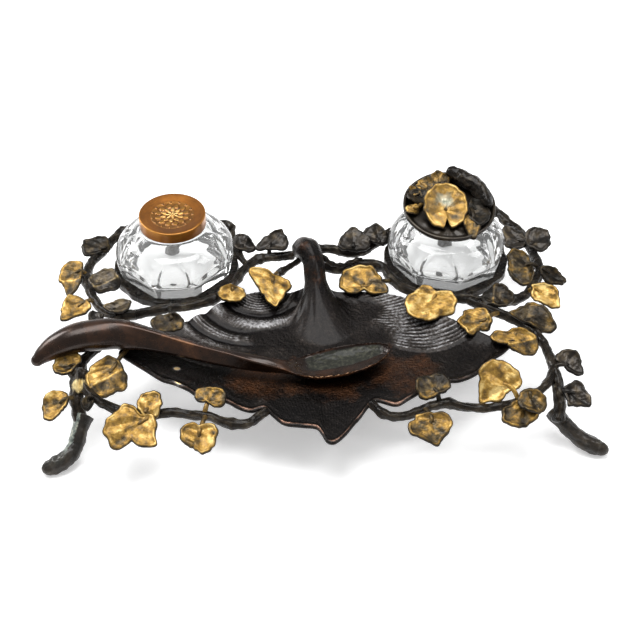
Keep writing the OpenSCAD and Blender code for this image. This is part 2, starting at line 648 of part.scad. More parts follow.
// Lily-pad lid: a collar round the neck, a hollow spigot in the bore and a sloping
// pad with a raised rim
module lid_right() color(bronze) {
    spigot_r = bore_d / 2 - lid_clear;
    tall = pad_z - neck_z;
    difference() {
        translate([ring_x, ring_y, neck_z + lid_clear])
            cylinder(h = tall, r = skirt_r, $fn = 96);
        translate([ring_x, ring_y, neck_z])
            cylinder(h = short_neck_h + lid_clear, r = neck_d / 2 + lid_clear, $fn = 96);
        on_pad(-plate_t / 2) cylinder(h = tall, r = pad_d, $fn = 96);
    }
    difference() {
        translate([ring_x, ring_y, short_top - spigot_h])
            cylinder(h = spigot_h + 2 * lid_clear, r = spigot_r, $fn = 96);
        translate([ring_x, ring_y, short_top - spigot_h - 1])
            cylinder(h = spigot_h + 1, r = spigot_r - plate_t, $fn = 96);
    }
    on_pad(-plate_t) rotate_extrude($fn = 96)
        polygon([[0, 0], [pad_d / 2 - 1, 0], [pad_d / 2, 1], [pad_d / 2, plate_t + pad_rim],
            [pad_d / 2 - 1.6, plate_t + pad_rim], [pad_d / 2 - 2.4, plate_t], [0, plate_t]]);
}

// The pad's face and rim, one braze line larger, which its leaves are fitted to
module pad_skin()
    rotate_extrude($fn = 48)
        polygon([[0, -9], [pad_d / 2 + 1, -9], [pad_d / 2 + 1, pad_rim + braze_gap],
            [pad_d / 2 - 1.6 - 2 * braze_gap, pad_rim + braze_gap],
            [pad_d / 2 - 2.4 - 2 * braze_gap, braze_gap], [0, braze_gap]]);

// A leaf on the pad: place, then heading and pitch. A short boss carries it.
module pad_leaf(place, turn, length, width, half, cup = 1, droop = 0)
    casting() difference() {
        union() {
            translate(place) rotate([0, -turn[1], turn[0]])
                blade(length, width, half, cup, droop);
            translate([place.x + length * 0.3 * cos(turn[0]),
                place.y + length * 0.3 * sin(turn[0]), 0])
                cylinder(h = place.z + length * 0.3 * sin(turn[1]), r = 1.6, $fn = 12);
        }
        pad_skin();
    }

module lid_leaf_round() color(gilt) on_pad()
    pad_leaf([-4, -18.5, 3.4], [88, 9], 31, 26, lily, 2, 0);

module lid_leaves() color(gilt) on_pad() {
    pad_leaf([-5, 14, 3.6], [66, 32], 14, 12, ivy);
    pad_leaf([-14, 12, 3], [140, 18], 11, 9, ivy);
    pad_leaf([-18, -3, 2.6], [176, 18], 9, 9, heart);
    pad_leaf([-17.5, 5, 2.2], [160, 12], 8, 7, heart);
    pad_leaf([13, -8, 4.4], [-100, -2], 17, 12, heart, -1);
}

lid_twig_route = smooth([
    [2, 25, 5], [6, 22.5, 4.8], [11, 18.5, 4.6], [17, 12.5, 4.6], [21, 5, 4.4],
    [23, -3, 4]]);
module lid_twig() color(bronze) on_pad() casting() difference() {
    last = len(lid_twig_route) - 1;
    sweep(lid_twig_route,
        [for (i = [0 : last]) 2.8 + 1.5 * sin(180 * i / last)], vine_sides);
    pad_skin();
}

// ---- Spoon ----

// Stations along the spoon: [x, y, height over spoon_z, half-width, depth under
// the edge]. The last number is 1 on the solid handle and 0 in the hollow bowl.
spoon_stations = [
    [-156.5, -34, 10, 3, 3, 1], [-155.5, -31, 12, 6, 5, 1], [-152, -28, 14.5, 8.5, 6.5, 1],
    [-145, -25, 17, 10, 8, 1], [-135, -22, 18.2, 10, 8.4, 1], [-121, -21, 18, 9.5, 8.6, 1],
    [-110, -21, 17, 8.5, 8, 1], [-94, -25, 15.2, 6.5, 6, 1], [-77, -30, 13.5, 5.2, 3.8, 1],
    [-60, -35, 11.5, 4.4, 3, 1], [-44, -39, 10.5, 4.2, 2.6, 1], [-30, -42, 9.5, 3.6, 2.4, 1],
    [-21, -43, 8.5, 3.2, 2.4, 1], [-15, -42.5, 7.6, 5, 3, 0.6], [-9, -41.5, 7, 9, 4.4, 0],
    [-2, -40, 6.8, 11.5, 5.4, 0], [8, -38, 7, 12.8, 6, 0], [18, -36, 7.4, 12.2, 6, 0],
    [27, -34, 8, 10, 5.4, 0], [34, -32.5, 8.6, 7, 4.2, 0], [39, -31.5, 9.2, 3.4, 2.6, 0],
    [41, -31, 9.4, 1, 1.6, 0]];
spoon_sides = 12;

module spoon_skin() {
    path = [for (s = spoon_stations) [s[0], s[1], s[2] + spoon_z]];
    last = len(path) - 1;
    points = [for (i = [0 : last])
        let (t = along(path, i), s = unit(cross([0, 0, 1], t)), n = cross(t, s),
            st = spoon_stations[i], hollow = min(bowl_depth, st[4] - bowl_t * 0.6))
        for (k = [0 : spoon_sides - 1])
            let (a = 360 * k / spoon_sides,
                height = sin(a) < -0.01 ? st[4] * sin(a)
                    : mix(-hollow, st[4], st[5]) * sin(a))
            path[i] + s * st[3] * cos(a) + n * height];
    function at(i, k) = i * spoon_sides + k % spoon_sides;
    walls = [for (i = [0 : last - 1], k = [0 : spoon_sides - 1], half = [0, 1])
        half == 0 ? [at(i, k), at(i + 1, k), at(i + 1, k + 1)]
                  : [at(i, k), at(i + 1, k + 1), at(i, k + 1)]];
    start = [for (k = [1 : spoon_sides - 2]) [0, k, k + 1]];
    end = [for (k = [1 : spoon_sides - 2]) [at(last, 0), at(last, k + 1), at(last, k)]];
    polyhedron(points, concat(walls, start, end));
}

module spoon() color(spoon_bronze) spoon_skin();

pen_tray();
ring_left();
ring_right();
vine_left_outer();
vine_left_inner();
vine_left_lower();
vine_left_front();
vine_right_outer();
vine_right_back();
vine_right_inner();
vine_right_lower();
vine_right_front();
vine_left_back();
twig_hook();
twig_back_left();
twig_left_tip();
twig_right_tip();
leg_front_left();
leg_front_right();
foot_front_left();
foot_front_right();
foot_back_left();
foot_back_right();
leaves_left_outer();
leaves_left_inner();
leaves_left_ring();
leaf_stem_left();
leaves_back_left();
leaves_back_right();
leaf_stem_right();
leaves_right_ring();
leaves_right_middle();
leaf_right_tip();
leaf_right_big();
leaves_front_right();
leaves_right_corner();
leaves_right_leg();
leaves_right_outer();
leaves_right_back();
leaves_left_leg();
leaf_left_tip();
leaf_left_big();
leaves_front_left();
inkwell_left();
inkwell_right();
cap_left();
cap_rosette();
lid_right();
lid_leaf_round();
lid_leaves();
lid_twig();
spoon();
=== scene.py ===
import math

import bmesh
import bpy
import numpy as np
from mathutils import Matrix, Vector


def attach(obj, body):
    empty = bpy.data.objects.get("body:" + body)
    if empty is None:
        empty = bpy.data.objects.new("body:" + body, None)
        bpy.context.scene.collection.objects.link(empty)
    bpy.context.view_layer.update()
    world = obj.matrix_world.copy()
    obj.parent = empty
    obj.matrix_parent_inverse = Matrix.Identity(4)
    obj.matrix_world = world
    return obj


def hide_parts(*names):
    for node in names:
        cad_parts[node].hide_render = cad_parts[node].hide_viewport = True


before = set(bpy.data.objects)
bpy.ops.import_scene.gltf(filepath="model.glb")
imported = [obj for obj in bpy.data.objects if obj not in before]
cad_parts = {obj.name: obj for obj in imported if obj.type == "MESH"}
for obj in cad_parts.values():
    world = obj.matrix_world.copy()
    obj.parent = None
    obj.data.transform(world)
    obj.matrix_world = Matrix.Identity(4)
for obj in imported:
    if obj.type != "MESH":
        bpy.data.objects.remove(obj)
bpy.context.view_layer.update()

# ---------------------------------------
# Vines and twigs. Each is a bronze bar cast from a real ivy stem, so it has knots,
# a fibrous bark and cut ends. The bars are brazed where they meet, in the plane
# FRAME_Z above the table, and hug the two ring seats. The two front legs are bars too.
# ---------------------------------------
MM = 0.001
FRAME_Z = 30.0
RING_X, RING_Y, RING_R = 82.0, 54.0, 38.0
VINE_R, TWIG_R, LEG_R = 2.8, 1.9, 3.0
HUG_R = RING_R + 2.2


def hug(side, degrees, up=0.0, out=0.0):
    """Point beside a ring seat: HUG_R + out from its axis, at the angle given."""
    a = math.radians(degrees)
    return [side * RING_X + (HUG_R + out) * math.cos(a), RING_Y + (HUG_R + out) * math.sin(a), up]


def through(points, steps=8):
    """Catmull-Rom curve: between each two points, steps samples of the cubic that
    also looks at the point before and the point after."""
    p = np.asarray(points, float)
    p = np.vstack([2 * p[0] - p[1], p, 2 * p[-1] - p[-2]])
    t = np.linspace(0, 1, steps, endpoint=False)[None, :, None]
    a, b, c, d = (p[i : len(p) - 3 + i, None, :] for i in range(4))
    curve = (2 * b + (c - a) * t + (2 * a - 5 * b + 4 * c - d) * t**2 + (3 * b - a - 3 * c + d) * t**3) / 2
    return np.vstack([curve.reshape(-1, p.shape[1]), p[-2]])


def waves(p, size, seed):
    """Slow lumps from -1 to 1: the mean of eight sine waves whose length is near
    size and whose directions and phases come from the seed."""
    rng = np.random.default_rng(seed)
    way = rng.normal(size=(8, 3))
    way *= (2 * np.pi / (size * rng.uniform(0.7, 1.5, 8)) / np.linalg.norm(way, axis=1))[:, None]
    return np.clip(np.sin(p @ way.T + rng.uniform(0, 6.28, 8)).mean(-1) * 2.2, -1, 1)


def unit(v):
    """Vectors along the last axis, each divided by its length."""
    return v / np.linalg.norm(v, axis=-1, keepdims=True)


def ring_of(count):
    """Angles of count even steps round a full turn."""
    return np.linspace(0, 2 * np.pi, count, endpoint=False)


def bar(path, radius, sides=20, up=(0, 0, 1), bark=0.0, seed=0, ends=(1.0, 1.0), tone=0.5):
    """Closed bar along a path. Round it at angle a a point lies radius * (1 + bark *
    ridges(a)) from the path; each end is an ellipsoid cap whose depth is ends *
    radius."""
    path = np.asarray(path, float)
    radius = np.broadcast_to(np.asarray(radius, float), len(path)).copy()
    along = unit(np.gradient(path, axis=0))
    side = unit(np.cross(np.asarray(up, float), along))
    cap = np.radians([90, 70, 45, 20])
    order = np.r_[np.zeros(4, int), np.arange(len(path)), np.full(4, len(path) - 1)]
    push = np.r_[-np.sin(cap) * radius[0] * ends[0], np.zeros(len(path)), np.sin(cap[::-1]) * radius[-1] * ends[1]]
    size = np.r_[np.cos(cap), np.ones(len(path)), np.cos(cap[::-1])] * radius[order]
    centre = path[order] + along[order] * push[:, None]
    a = ring_of(sides)
    over = np.cross(along, side)[order]
    ring = side[order][:, None] * np.cos(a)[None, :, None] + over[:, None] * np.sin(a)[None, :, None]
    run = np.r_[0, np.cumsum(np.linalg.norm(np.diff(centre, axis=0), axis=1))]
    ridges = 0.0
    if bark:
        place = centre[:, None] + ring * radius.mean()
        far = run[:, None]
        wind = a[None] + far * 0.035 * np.sin(seed)
        ridges = 0.35 * np.sin(3 * wind + seed) + 0.3 * np.sin(5 * wind + 2 * seed)
        ridges = ridges + 0.4 * np.sin(8 * wind) * np.sin(far / 9 + seed)
        ridges = ridges + 1.0 * waves(place, 8, seed) + 0.6 * waves(place, 3.5, seed + 1)
    points = centre[:, None] + ring * (size[:, None] * (1 + bark * ridges))[:, :, None]
    shade = tone + 0.9 * bark * ridges + np.zeros(points.shape[:2])
    return dict(points=points, wrap=True, u=run / 10, v=np.linspace(0, 1, sides + 1), tone=shade)


def cast(name, skins, finish, body, nodes):
    """One piece from grids of points, given in millimetres: each grid becomes quads
    from point to next point, joined round where it wraps, and its poles are merged."""
    verts, faces, uvs, tones, start = [], [], [], [], 0
    for s in skins:
        rows, cols = s["points"].shape[:2]
        i, j = np.meshgrid(np.arange(rows - 1), np.arange(cols if s["wrap"] else cols - 1), indexing="ij")
        i, j, n = i.ravel(), j.ravel(), (j.ravel() + 1) % cols
        faces.append(start + np.stack([i * cols + j, i * cols + n, (i + 1) * cols + n, (i + 1) * cols + j], 1))
        u, v = np.asarray(s["u"]), np.asarray(s["v"])
        us, vs = np.stack([u[i], u[i], u[i + 1], u[i + 1]], 1), np.stack([v[j], v[j + 1], v[j + 1], v[j]], 1)
        uvs.append(np.stack([us, vs], 2).reshape(-1, 2))
        verts.append(s["points"].reshape(-1, 3) * MM)
        tones.append(np.asarray(s["tone"], float).reshape(-1))
        start += rows * cols
    mesh = bpy.data.meshes.new(name)
    mesh.from_pydata(np.vstack(verts).tolist(), [], np.vstack(faces).tolist())
    shade = np.concatenate(tones).astype(np.float32)
    mesh.attributes.new("tone", "FLOAT", "POINT").data.foreach_set("value", shade)
    mesh.uv_layers.new(name="UVMap").data.foreach_set("uv", np.vstack(uvs).astype(np.float32).ravel())
    work = bmesh.new()
    work.from_mesh(mesh)
    bmesh.ops.remove_doubles(work, verts=work.verts, dist=2e-6)
    bmesh.ops.recalc_face_normals(work, faces=work.faces)
    work.to_mesh(mesh)
    work.free()
    mesh.shade_smooth()
    mesh.materials.append(finish)
    piece = bpy.data.objects.new(name, mesh)
    bpy.context.scene.collection.objects.link(piece)
    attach(piece, body)
    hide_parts(*nodes)
    return piece


def put(tree, kind, sockets=None, **settings):
    """Adds a shader node, sets its options, and fills or links its sockets."""
    made = tree.nodes.new("ShaderNode" + kind)
    for key, value in settings.items():
        setattr(made, key, value)
    for key, value in (sockets or {}).items():
        if isinstance(value, bpy.types.NodeSocket):
            tree.links.new(value, made.inputs[key])
        else:
            made.inputs[key].default_value = value
    return made


def ramp(tree, amount, stops):
    """Colour ramp over amount, from stops of place, red, green and blue."""
    made = put(tree, "ValToRGB", {"Fac": amount})
    made.color_ramp.elements.remove(made.color_ramp.elements[1])
    for k, (place, *colour) in enumerate(stops):
        e = made.color_ramp.elements[0] if k == 0 else made.color_ramp.elements.new(place)
        e.position, e.color = place, (*colour, 1)
    return made.outputs["Color"]


def maths(tree, operation, a, b=0.0, clamp=False):
    """One sum, product or other step on numbers."""
    return put(tree, "Math", {0: a, 1: b}, operation=operation, use_clamp=clamp).outputs[0]


def plus(tree, total, *terms):
    """Sum of the terms, taken in order."""
    for term in terms:
        total = maths(tree, "ADD", total, term)
    return total


def times(tree, a, b):
    """Product a * b."""
    return maths(tree, "MULTIPLY", a, b)


def noise(tree, place, scale, detail=2, roughness=0.5, distortion=0):
    """Cloudy noise from 0 to 1 whose largest clouds are 1 / scale wide."""
    sockets = {"Vector": place, "Scale": scale, "Detail": detail, "Roughness": roughness, "Distortion": distortion}
    return put(tree, "TexNoise", sockets).outputs["Fac"]


def fade(tree, value, start, end, low=0, high=1):
    """Runs from low to high while value runs from start to end, and stays there."""
    sockets = {"Value": value, "From Min": start, "From Max": end, "To Min": low, "To Max": high}
    return put(tree, "MapRange", sockets).outputs[0]


def cover(tree, amount, under, over):
    """Colour under, covered by colour over by the amount given."""
    return put(tree, "MixRGB", {"Fac": amount, "Color1": under, "Color2": over}).outputs["Color"]


def tone_of(tree):
    """Tone that the piece's own mesh carries."""
    return put(tree, "Attribute", attribute_name="tone").outputs["Fac"]


def finish_of(name, **values):
    """New material, with the shader's sockets set to values: material, tree, shader."""
    made = bpy.data.materials.new(name)
    made.use_nodes = True
    shader = made.node_tree.nodes["Principled BSDF"]
    for socket, value in values.items():
        shader.inputs[socket.replace("_", " ")].default_value = value
    return made, made.node_tree, shader


def bump(tree, shader, height, depth):
    """Raises the surface by height * depth."""
    made = put(tree, "Bump", {"Height": height, "Strength": 1.0, "Distance": depth})
    tree.links.new(made.outputs["Normal"], shader.inputs["Normal"])


def metal(name, stops, patch=120, patch_mix=0.5, tone_mix=0.9, metallic=0.8, rough=(0.3, 0.5), grain=900,
          grain_depth=0.0002, streaks=None, tint=None, wax=0.4, fleck=0.35):
    """Patinated metal. Its colour runs along stops with the tone of the surface plus
    cloudy patches; roughness follows the patches, and bumps come from fine grain
    and from streaks (scale along, scale across, share of tone, height)."""
    made, tree, shader = finish_of(name, Metallic=metallic, Coat_Weight=wax, Coat_Roughness=0.16)
    place = put(tree, "TexCoord").outputs["Object"]
    cloud, speck = noise(tree, place, patch, 6, 0.62), noise(tree, place, grain, 4, 0.6)
    level = plus(tree, times(tree, tone_of(tree), tone_mix), times(tree, plus(tree, cloud, -0.5), 2 * patch_mix),
                 times(tree, plus(tree, speck, -0.5), fleck * patch_mix))
    height = times(tree, speck, 0.5)
    if streaks:
        run = put(tree, "TexCoord").outputs["UV"]
        run = put(tree, "Mapping", {"Vector": run, "Scale": (streaks[0], streaks[1], 1)}).outputs["Vector"]
        lines = noise(tree, run, 1, 5, 0.6, 0.6)
        level = plus(tree, level, times(tree, plus(tree, lines, -0.5), streaks[2]))
        height = plus(tree, height, times(tree, lines, streaks[3]))
    colour = ramp(tree, maths(tree, "ADD", level, clamp=True), stops)
    if tint:
        colour = tint(tree, place, colour)
    tree.links.new(colour, shader.inputs["Base Color"])
    tree.links.new(fade(tree, cloud, 0.3, 0.7, *rough), shader.inputs["Roughness"])
    bump(tree, shader, height, grain_depth)
    return made


BARK_COLOURS = [(0.0, 0.004, 0.003, 0.002), (0.35, 0.011, 0.008, 0.005), (0.6, 0.030, 0.022, 0.014),
                (0.8, 0.082, 0.068, 0.048), (1.0, 0.20, 0.18, 0.14)]


def round_spot(tree, place, centre, ragged, wobble, start, end, most):
    """Amount that falls from most to 0 while the distance from centre, plus ragged *
    wobble, runs from start to end."""
    way = put(tree, "VectorMath", {0: place, 1: centre}, operation="DISTANCE").outputs["Value"]
    return fade(tree, plus(tree, way, times(tree, ragged, wobble)), start, end, most, 0)


def worn_spot(tree, place, colour):
    """A cream spot, worn through the patina where the front left leg is handled."""
    ragged = noise(tree, place, 350, 4)
    amount = round_spot(tree, place, (-0.1314, -0.0500, 0.0295), ragged, 0.004, 0.0054, 0.0066, 0.95)
    return cover(tree, amount, colour, (0.78, 0.62, 0.3, 1))


bark_bronze = metal("bark_bronze", BARK_COLOURS, patch=140, patch_mix=0.75, metallic=0.9, rough=(0.22, 0.45),
                    grain=700, grain_depth=0.0014, streaks=(1.1, 9, 0.8, 2.2), wax=0.28, tint=worn_spot)

# Routes: x, y and height over FRAME_Z of the middle of each bar
VINES = {
    "vine_left_outer": [
        [-116, 90, 1], [-123, 79, 0.5], [-128, 69, 0], [-133, 59, 1], [-135, 49, 0.5], [-135, 39, 0],
        [-132, 30, 1], [-128, 20, 0.5], [-122, 12, 0], [-114, 8, 0.5], [-105, 8, 0],
    ],
    "vine_left_inner": [
        [-107, 8, 0], [-99, 10, 0], hug(-1, -94), hug(-1, -76), hug(-1, -58), hug(-1, -40, 0.5),
        hug(-1, -24, 1), [-42, 45, 1], [-37, 52, 1], [-30, 57, 1], [-20, 58, 1], [-11, 58, 2],
    ],
    "vine_left_back": [
        [-48, 86, 3], [-53, 92, 2], hug(-1, 62, 1), hug(-1, 78, 0.5), hug(-1, 94), hug(-1, 112), [-107, 95, 0],
        [-116, 90, 0],
    ],
    "vine_left_lower": [
        [-113, 8, 0], [-117, -3, 0.5], [-122, -12, 0], [-127, -22, 0], [-132, -32, 0], [-136, -43, 0],
    ],
    "vine_left_front": [
        [-132, -30, -1], [-131, -40, -1], [-129, -50, -1], [-125, -58, 0], [-118, -65, 0], [-109, -71, 0],
        [-100, -74, 0], [-90, -75, 0], [-80, -74, 0], [-70, -76, 0], [-60, -78, 0], [-52, -82, -1],
        [-44, -84, -1], [-37, -81, -1], [-30, -74, -1],
    ],
    "vine_right_outer": [
        [118, 98, 3], [122, 91, 2], [126, 84, 1], [131, 76, 1], [134, 67, 0], [136, 57, 0], [137, 48, 0],
        [137, 40, 1], [135, 31, 0.5], [131, 23, 0], [124, 15, 0], [116, 11, 0], [107, 10, 0], [99, 11.5, 0],
        hug(1, -84), hug(1, -98),
    ],
    "vine_right_back": [
        [-1, 60.5, 4], [6, 62, 3], [15, 62, 2], [24, 59, 1], [33, 62, 1], [42, 70, 1], [49, 78, 1], hug(1, 130),
        hug(1, 108), hug(1, 88), hug(1, 68), [111, 95, 0], [121, 97, 1],
    ],
    "vine_right_inner": [
        [1, 41, 5], [7, 43, 4], [16, 42, 2], [24, 47, 0], [32, 50, 0], hug(1, -168), hug(1, -152), hug(1, -134),
        hug(1, -116), hug(1, -99),
    ],
    "vine_right_lower": [
        [91, 11.4, 0.3], [100, 5, 0], [108, -1, 0], [116, -8, 0], [122, -15, 0], [127, -24, 0], [129, -33, 0],
        [130, -43, 0], [130, -53, 0],
    ],
    "vine_right_front": [
        [130, -50, 0], [125, -60, 0], [119, -67, 0], [112, -72, 0], [104, -76, 0], [95, -78, 0], [85, -79, 0],
        [76, -77, 0], [69, -74, 0], [62, -75, 0], [54, -78, 0], [46, -81, -1], [38, -82, -1], [32, -78, -1],
        [27, -71, -1],
    ],
    "twig_hook": [[-3, 57, 4], [-8, 51, 3], [-14, 45, 3], [-21, 39, 3]],
    "twig_back_left": [[-48, 83, 2], [-47, 72, 1], [-44, 62, 0.5], [-40, 52, 1]],
    "twig_left_tip": [[-122, -12, 0], [-115, -17, 0.6], [-109, -22, 1.5], [-107, -24, 1.5]],
    "twig_right_tip": [[127, -24, 0], [119, -27, 1], [112, -30, 3], [106, -31, 3.4]],
    "leg_front_left": [
        [-132.6, -39, 0], [-133.6, -47, -2], [-133.6, -54, -6], [-132.6, -60, -10], [-130.8, -65, -15],
    ],
    "leg_front_right": [[130, -51, 0], [131, -58, -3], [131, -64, -6], [131, -70, -10], [130, -75, -15]],
}
THICK = {"vine_left_front": 2.6, "vine_right_front": 2.5, "twig_hook": TWIG_R, "twig_back_left": TWIG_R,
         "twig_left_tip": TWIG_R, "twig_right_tip": TWIG_R, "leg_front_left": LEG_R + 1.0,
         "leg_front_right": LEG_R + 0.4}
TENDRIL = [[1, 45, 47], [7, 41.5, 42], [12, 40.5, 38], [18, 42.5, 35], [24, 47.5, 33.5], [30, 51, 32.5]]
middles = {}
for k, (name, route) in enumerate(VINES.items()):
    middles[name] = line = through(np.array(route) + [0, 0, FRAME_Z], 9)
    knots = np.maximum(0, np.cos(np.arange(len(line)) * 0.148 + 0.9 * k)) ** 10
    thick = THICK.get(name, VINE_R) * (0.98 + 0.25 * knots)
    skins = [bar(line, thick, 28, bark=0.12, seed=k + 1, ends=(0.4, 0.4))]
    if name == "vine_right_inner":
        tendril = through(TENDRIL, 9)
        lumpy = 1.5 + 0.35 * np.sin(np.arange(len(tendril)) * 0.8)
        skins.append(bar(tendril, lumpy, 16, bark=0.1, seed=61))
    cast(name + "_bar", skins, bark_bronze, "stand", [name])

# ---------------------------------------
# Feet. Four thick cut branches carry the stand: each has a flat sawn top, bends
# outwards and ends in a rounded toe whose sole is filed flat.
# ---------------------------------------
TOE_Z, SOLE_Z = 4.1, 0.02
FEET = {
    "foot_front_left": ([[-129, -62, 18], [-131.5, -67, 14.5], [-134, -75, 9.4], [-138, -81, 6],
                         [-143, -84.5, 4.6], [-147, -86, TOE_Z]], (0.5, -1, 0)),
    "foot_front_right": ([[128.5, -67, 15], [132, -72, 12.4], [137.5, -78, 9], [143, -82.5, 6.4],
                          [148.5, -85.5, 4.8], [151.5, -86.6, TOE_Z]], (0.5, 1, 0)),
}
for side, name in ((-1, "foot_back_left"), (1, "foot_back_right")):
    top = 90 - 6 * side
    FEET[name] = ([hug(side, top, 28), hug(side, top, 18), [side * 87, 96, 9.1], [side * 88, 98, TOE_Z],
                   [side * 89, 101, TOE_Z]], (1, 0, 0))


def verdigris(tree, place, colour):
    """Pale grey-green crust, laid over the bronze where a slow noise is high, on the
    outer side of the foot between its toe and its ankle."""
    parts = put(tree, "SeparateXYZ", {0: place}).outputs
    leftward = fade(tree, plus(tree, parts["X"], times(tree, parts["Y"], -0.45)), -0.1032, -0.0992, 0.2, -0.25)
    amount = fade(tree, plus(tree, noise(tree, place, 90, 8, 0.7), leftward), 0.42, 0.52, 0, 0.92)
    pale = ramp(tree, noise(tree, place, 500, 4),
                [(0.3, 0.07, 0.085, 0.075), (0.5, 0.26, 0.30, 0.27), (0.7, 0.55, 0.56, 0.46)])
    ankle = fade(tree, parts["Z"], 0.0060, 0.0100, 0.1, 1)
    forward = plus(tree, times(tree, parts["X"], -0.8), times(tree, parts["Y"], -0.6))
    toe = fade(tree, forward, 0.1590, 0.1615, 1, 0.08)
    return cover(tree, times(tree, times(tree, amount, ankle), toe), colour, pale)


FOOT_LOOK = dict(patch=160, patch_mix=0.6, grain=600, grain_depth=0.0009, streaks=(1.6, 12, 0.5, 1.6))
foot_bronze = metal("foot_bronze", BARK_COLOURS, metallic=0.6, rough=(0.35, 0.65), **FOOT_LOOK)
crusted_bronze = metal("crusted_bronze", BARK_COLOURS, metallic=0.5, rough=(0.4, 0.7), tint=verdigris, **FOOT_LOOK)
for k, (name, (route, up)) in enumerate(FEET.items()):
    line = through(route, 10)
    share = np.linspace(0, 1, len(line))
    thick = np.interp(share, [0, 0.1, 0.4, 0.72, 0.9, 1], [5.2, 4.7, 4.3, 5.0, 4.8, 4.1])
    log = bar(line, thick, 32, up=up, bark=0.08, seed=20 + k, ends=(0.15, 1.3))
    log["points"][:, :, 2] = np.maximum(log["points"][:, :, 2], SOLE_Z)
    bronze = crusted_bronze if name == "foot_front_left" else foot_bronze
    cast(name + "_log", [log], bronze, "stand", [name])

# ---------------------------------------
# Leaves. Cast ivy leaves, gilt or left olive brown, brazed to the vines by their
# stalks. Every one has its own cut: an edge that curls to a thin lip, lighter for worn
# gilt and for a painted highlight, a swell between the veins, and a dark underside.
# ---------------------------------------
LEAF_T = 2.0


def bell(d, width):
    """exp(-(d / width)^2)"""
    return np.exp(-((d / width) ** 2))


def leaf(centre, tilt, veins, stalk, whole, between, vine, roll=0, gilt=0.8, cup=0.9, swell=1.1, lip=0.35,
         curl=0.9, fold=None, seed=0):
    """Skins of one leaf and its stalk. Whole holds the radii at clock hours 0 to 11,
    hour 3 pointing to the back, and between holds hour, radius, hour, radius. A
    point at share u of the radius stands up by cup * u^2, by swell * (1 - a bell over
    its distance from the nearest vein), by a lip near the edge, by a slow curl that
    grows as u^3 and, past a fold line, drops away. The underside is the same form
    LEAF_T lower, joined by a round edge."""
    hour, radius = np.array([*enumerate(whole), *zip(between[::2], between[1::2])], float).T
    a = ring_of(112)
    edge = np.interp(a * 6 / np.pi, hour, radius, period=12)
    edge = sum(w * np.roll(edge, s) for w, s in zip((0.06, 0.24, 0.4, 0.24, 0.06), (-2, -1, 0, 1, 2)))
    edge = edge * (1 + 0.02 * np.sin(9 * a + seed) + 0.015 * np.sin(14 * a + 2 * seed))
    share = np.linspace(0, 1, 26) ** 0.85
    u = share[:, None]
    x, y = u * edge * np.cos(a), u * edge * np.sin(a)
    spot = np.stack([x, y, np.zeros_like(x)], -1)

    def toward(h, part):
        way = np.array([math.cos(h * math.pi / 6), math.sin(h * math.pi / 6)])
        return part * np.interp(h, hour, radius, period=12) * way

    base = toward(stalk, 0.72)
    near = np.full(x.shape, 99.0)
    for h in veins:
        way = toward(h, 0.95) - base
        part = np.clip(((x - base[0]) * way[0] + (y - base[1]) * way[1]) / (way @ way), 0, 1)
        near = np.minimum(near, np.hypot(x - base[0] - part * way[0], y - base[1] - part * way[1]))
    lips, vein = bell((1 - u) * edge - 0.35, 0.6), bell(near, 0.5)
    height = cup * u**2 + swell * (1 - bell(near, 3)) * (1 - u**5) - 0.12 * vein * (1 - u**4)
    height = height + lip * lips + curl * u**3 * (np.sin(2 * a + seed) + 0.7 * np.sin(3 * a + 2.1 * seed))
    height = height + 0.32 * waves(spot, 9, seed + 7) + 0.08 * waves(spot, 2.2, seed + 8)
    # Lips: lighter in patches, for worn gilt and for a painted highlight on the curl
    lip_wear_and_glint = np.maximum(0, waves(spot, 13, seed + 5))
    tone = 0.5 + gilt * lips * (0.1 + 0.5 * lip_wear_and_glint) + 0.14 * waves(spot, 7, seed + 7)
    tone = tone + 0.12 * waves(spot, 4, seed + 3) - 0.05 * vein
    if fold:
        way, offset, drop = math.radians(fold[0]), fold[1], fold[2]
        past = np.cos(way) * x + np.sin(way) * y - offset
        height = height - drop * 0.5 * (past + np.sqrt(past**2 + 0.6))
        # A painted highlight along the fold line, and painted shade past it where the leaf drops away
        tone = tone + 0.35 * bell(past, 0.6) - 0.22 / (1 + np.exp(-2 * past))
    turn, lean = math.radians(tilt), math.radians(roll)
    right = np.array([math.cos(lean), 0, math.sin(lean)])
    back = np.array([-math.sin(lean) * math.sin(turn), math.cos(turn), math.cos(lean) * math.sin(turn)])
    face = np.cross(right, back)

    def place(px, py, h):
        return np.asarray(centre) + px[..., None] * right + py[..., None] * back + h[..., None] * face

    brim = np.radians([35, 75, 115, 150])[:, None]
    out = 0.5 * LEAF_T * np.sin(brim)
    rim = place(x[-1] + out * np.cos(a), y[-1] + out * np.sin(a), height[-1] - 0.5 * LEAF_T * (1 - np.cos(brim)))
    pick = np.array([25, 22, 18, 13, 8, 4, 0])
    under = place(x[pick], y[pick], height[pick] - LEAF_T - 0.4 * (1 - u[pick] ** 2))
    grid = np.concatenate([place(x, y, height), rim, under])
    brim_tone = np.array([[0.55], [0.25], [0.1], [0.02]]) * gilt + 0 * a
    shade = np.concatenate([gilt - 0.5 + tone, brim_tone, 0 * x[pick]])
    run = np.r_[share, np.linspace(1.05, 1.3, 4), 1.4 + (1 - share[pick])]
    blade = dict(points=grid, wrap=True, u=run, v=np.linspace(0, 1, len(a) + 1), tone=shade)

    def on_stalk(part, h):
        return place(base[:1] * part, base[1:] * part, np.array([h]))[0]

    beside = middles[vine] - on_stalk(1.3, 0.0)
    foot, root = middles[vine][np.argmin(np.linalg.norm(beside, axis=1))], on_stalk(1, 0.2)
    stem = through([foot, foot * 0.55 + root * 0.45 + [0, 0, 1.2], root, on_stalk(0.45, -0.4)], 7)
    thin = np.linspace(1.5, 1.0, len(stem))
    return [blade, bar(stem, thin, 12, up=(0.1, 0.2, 1), bark=0.05, seed=seed, tone=gilt - 0.15)]


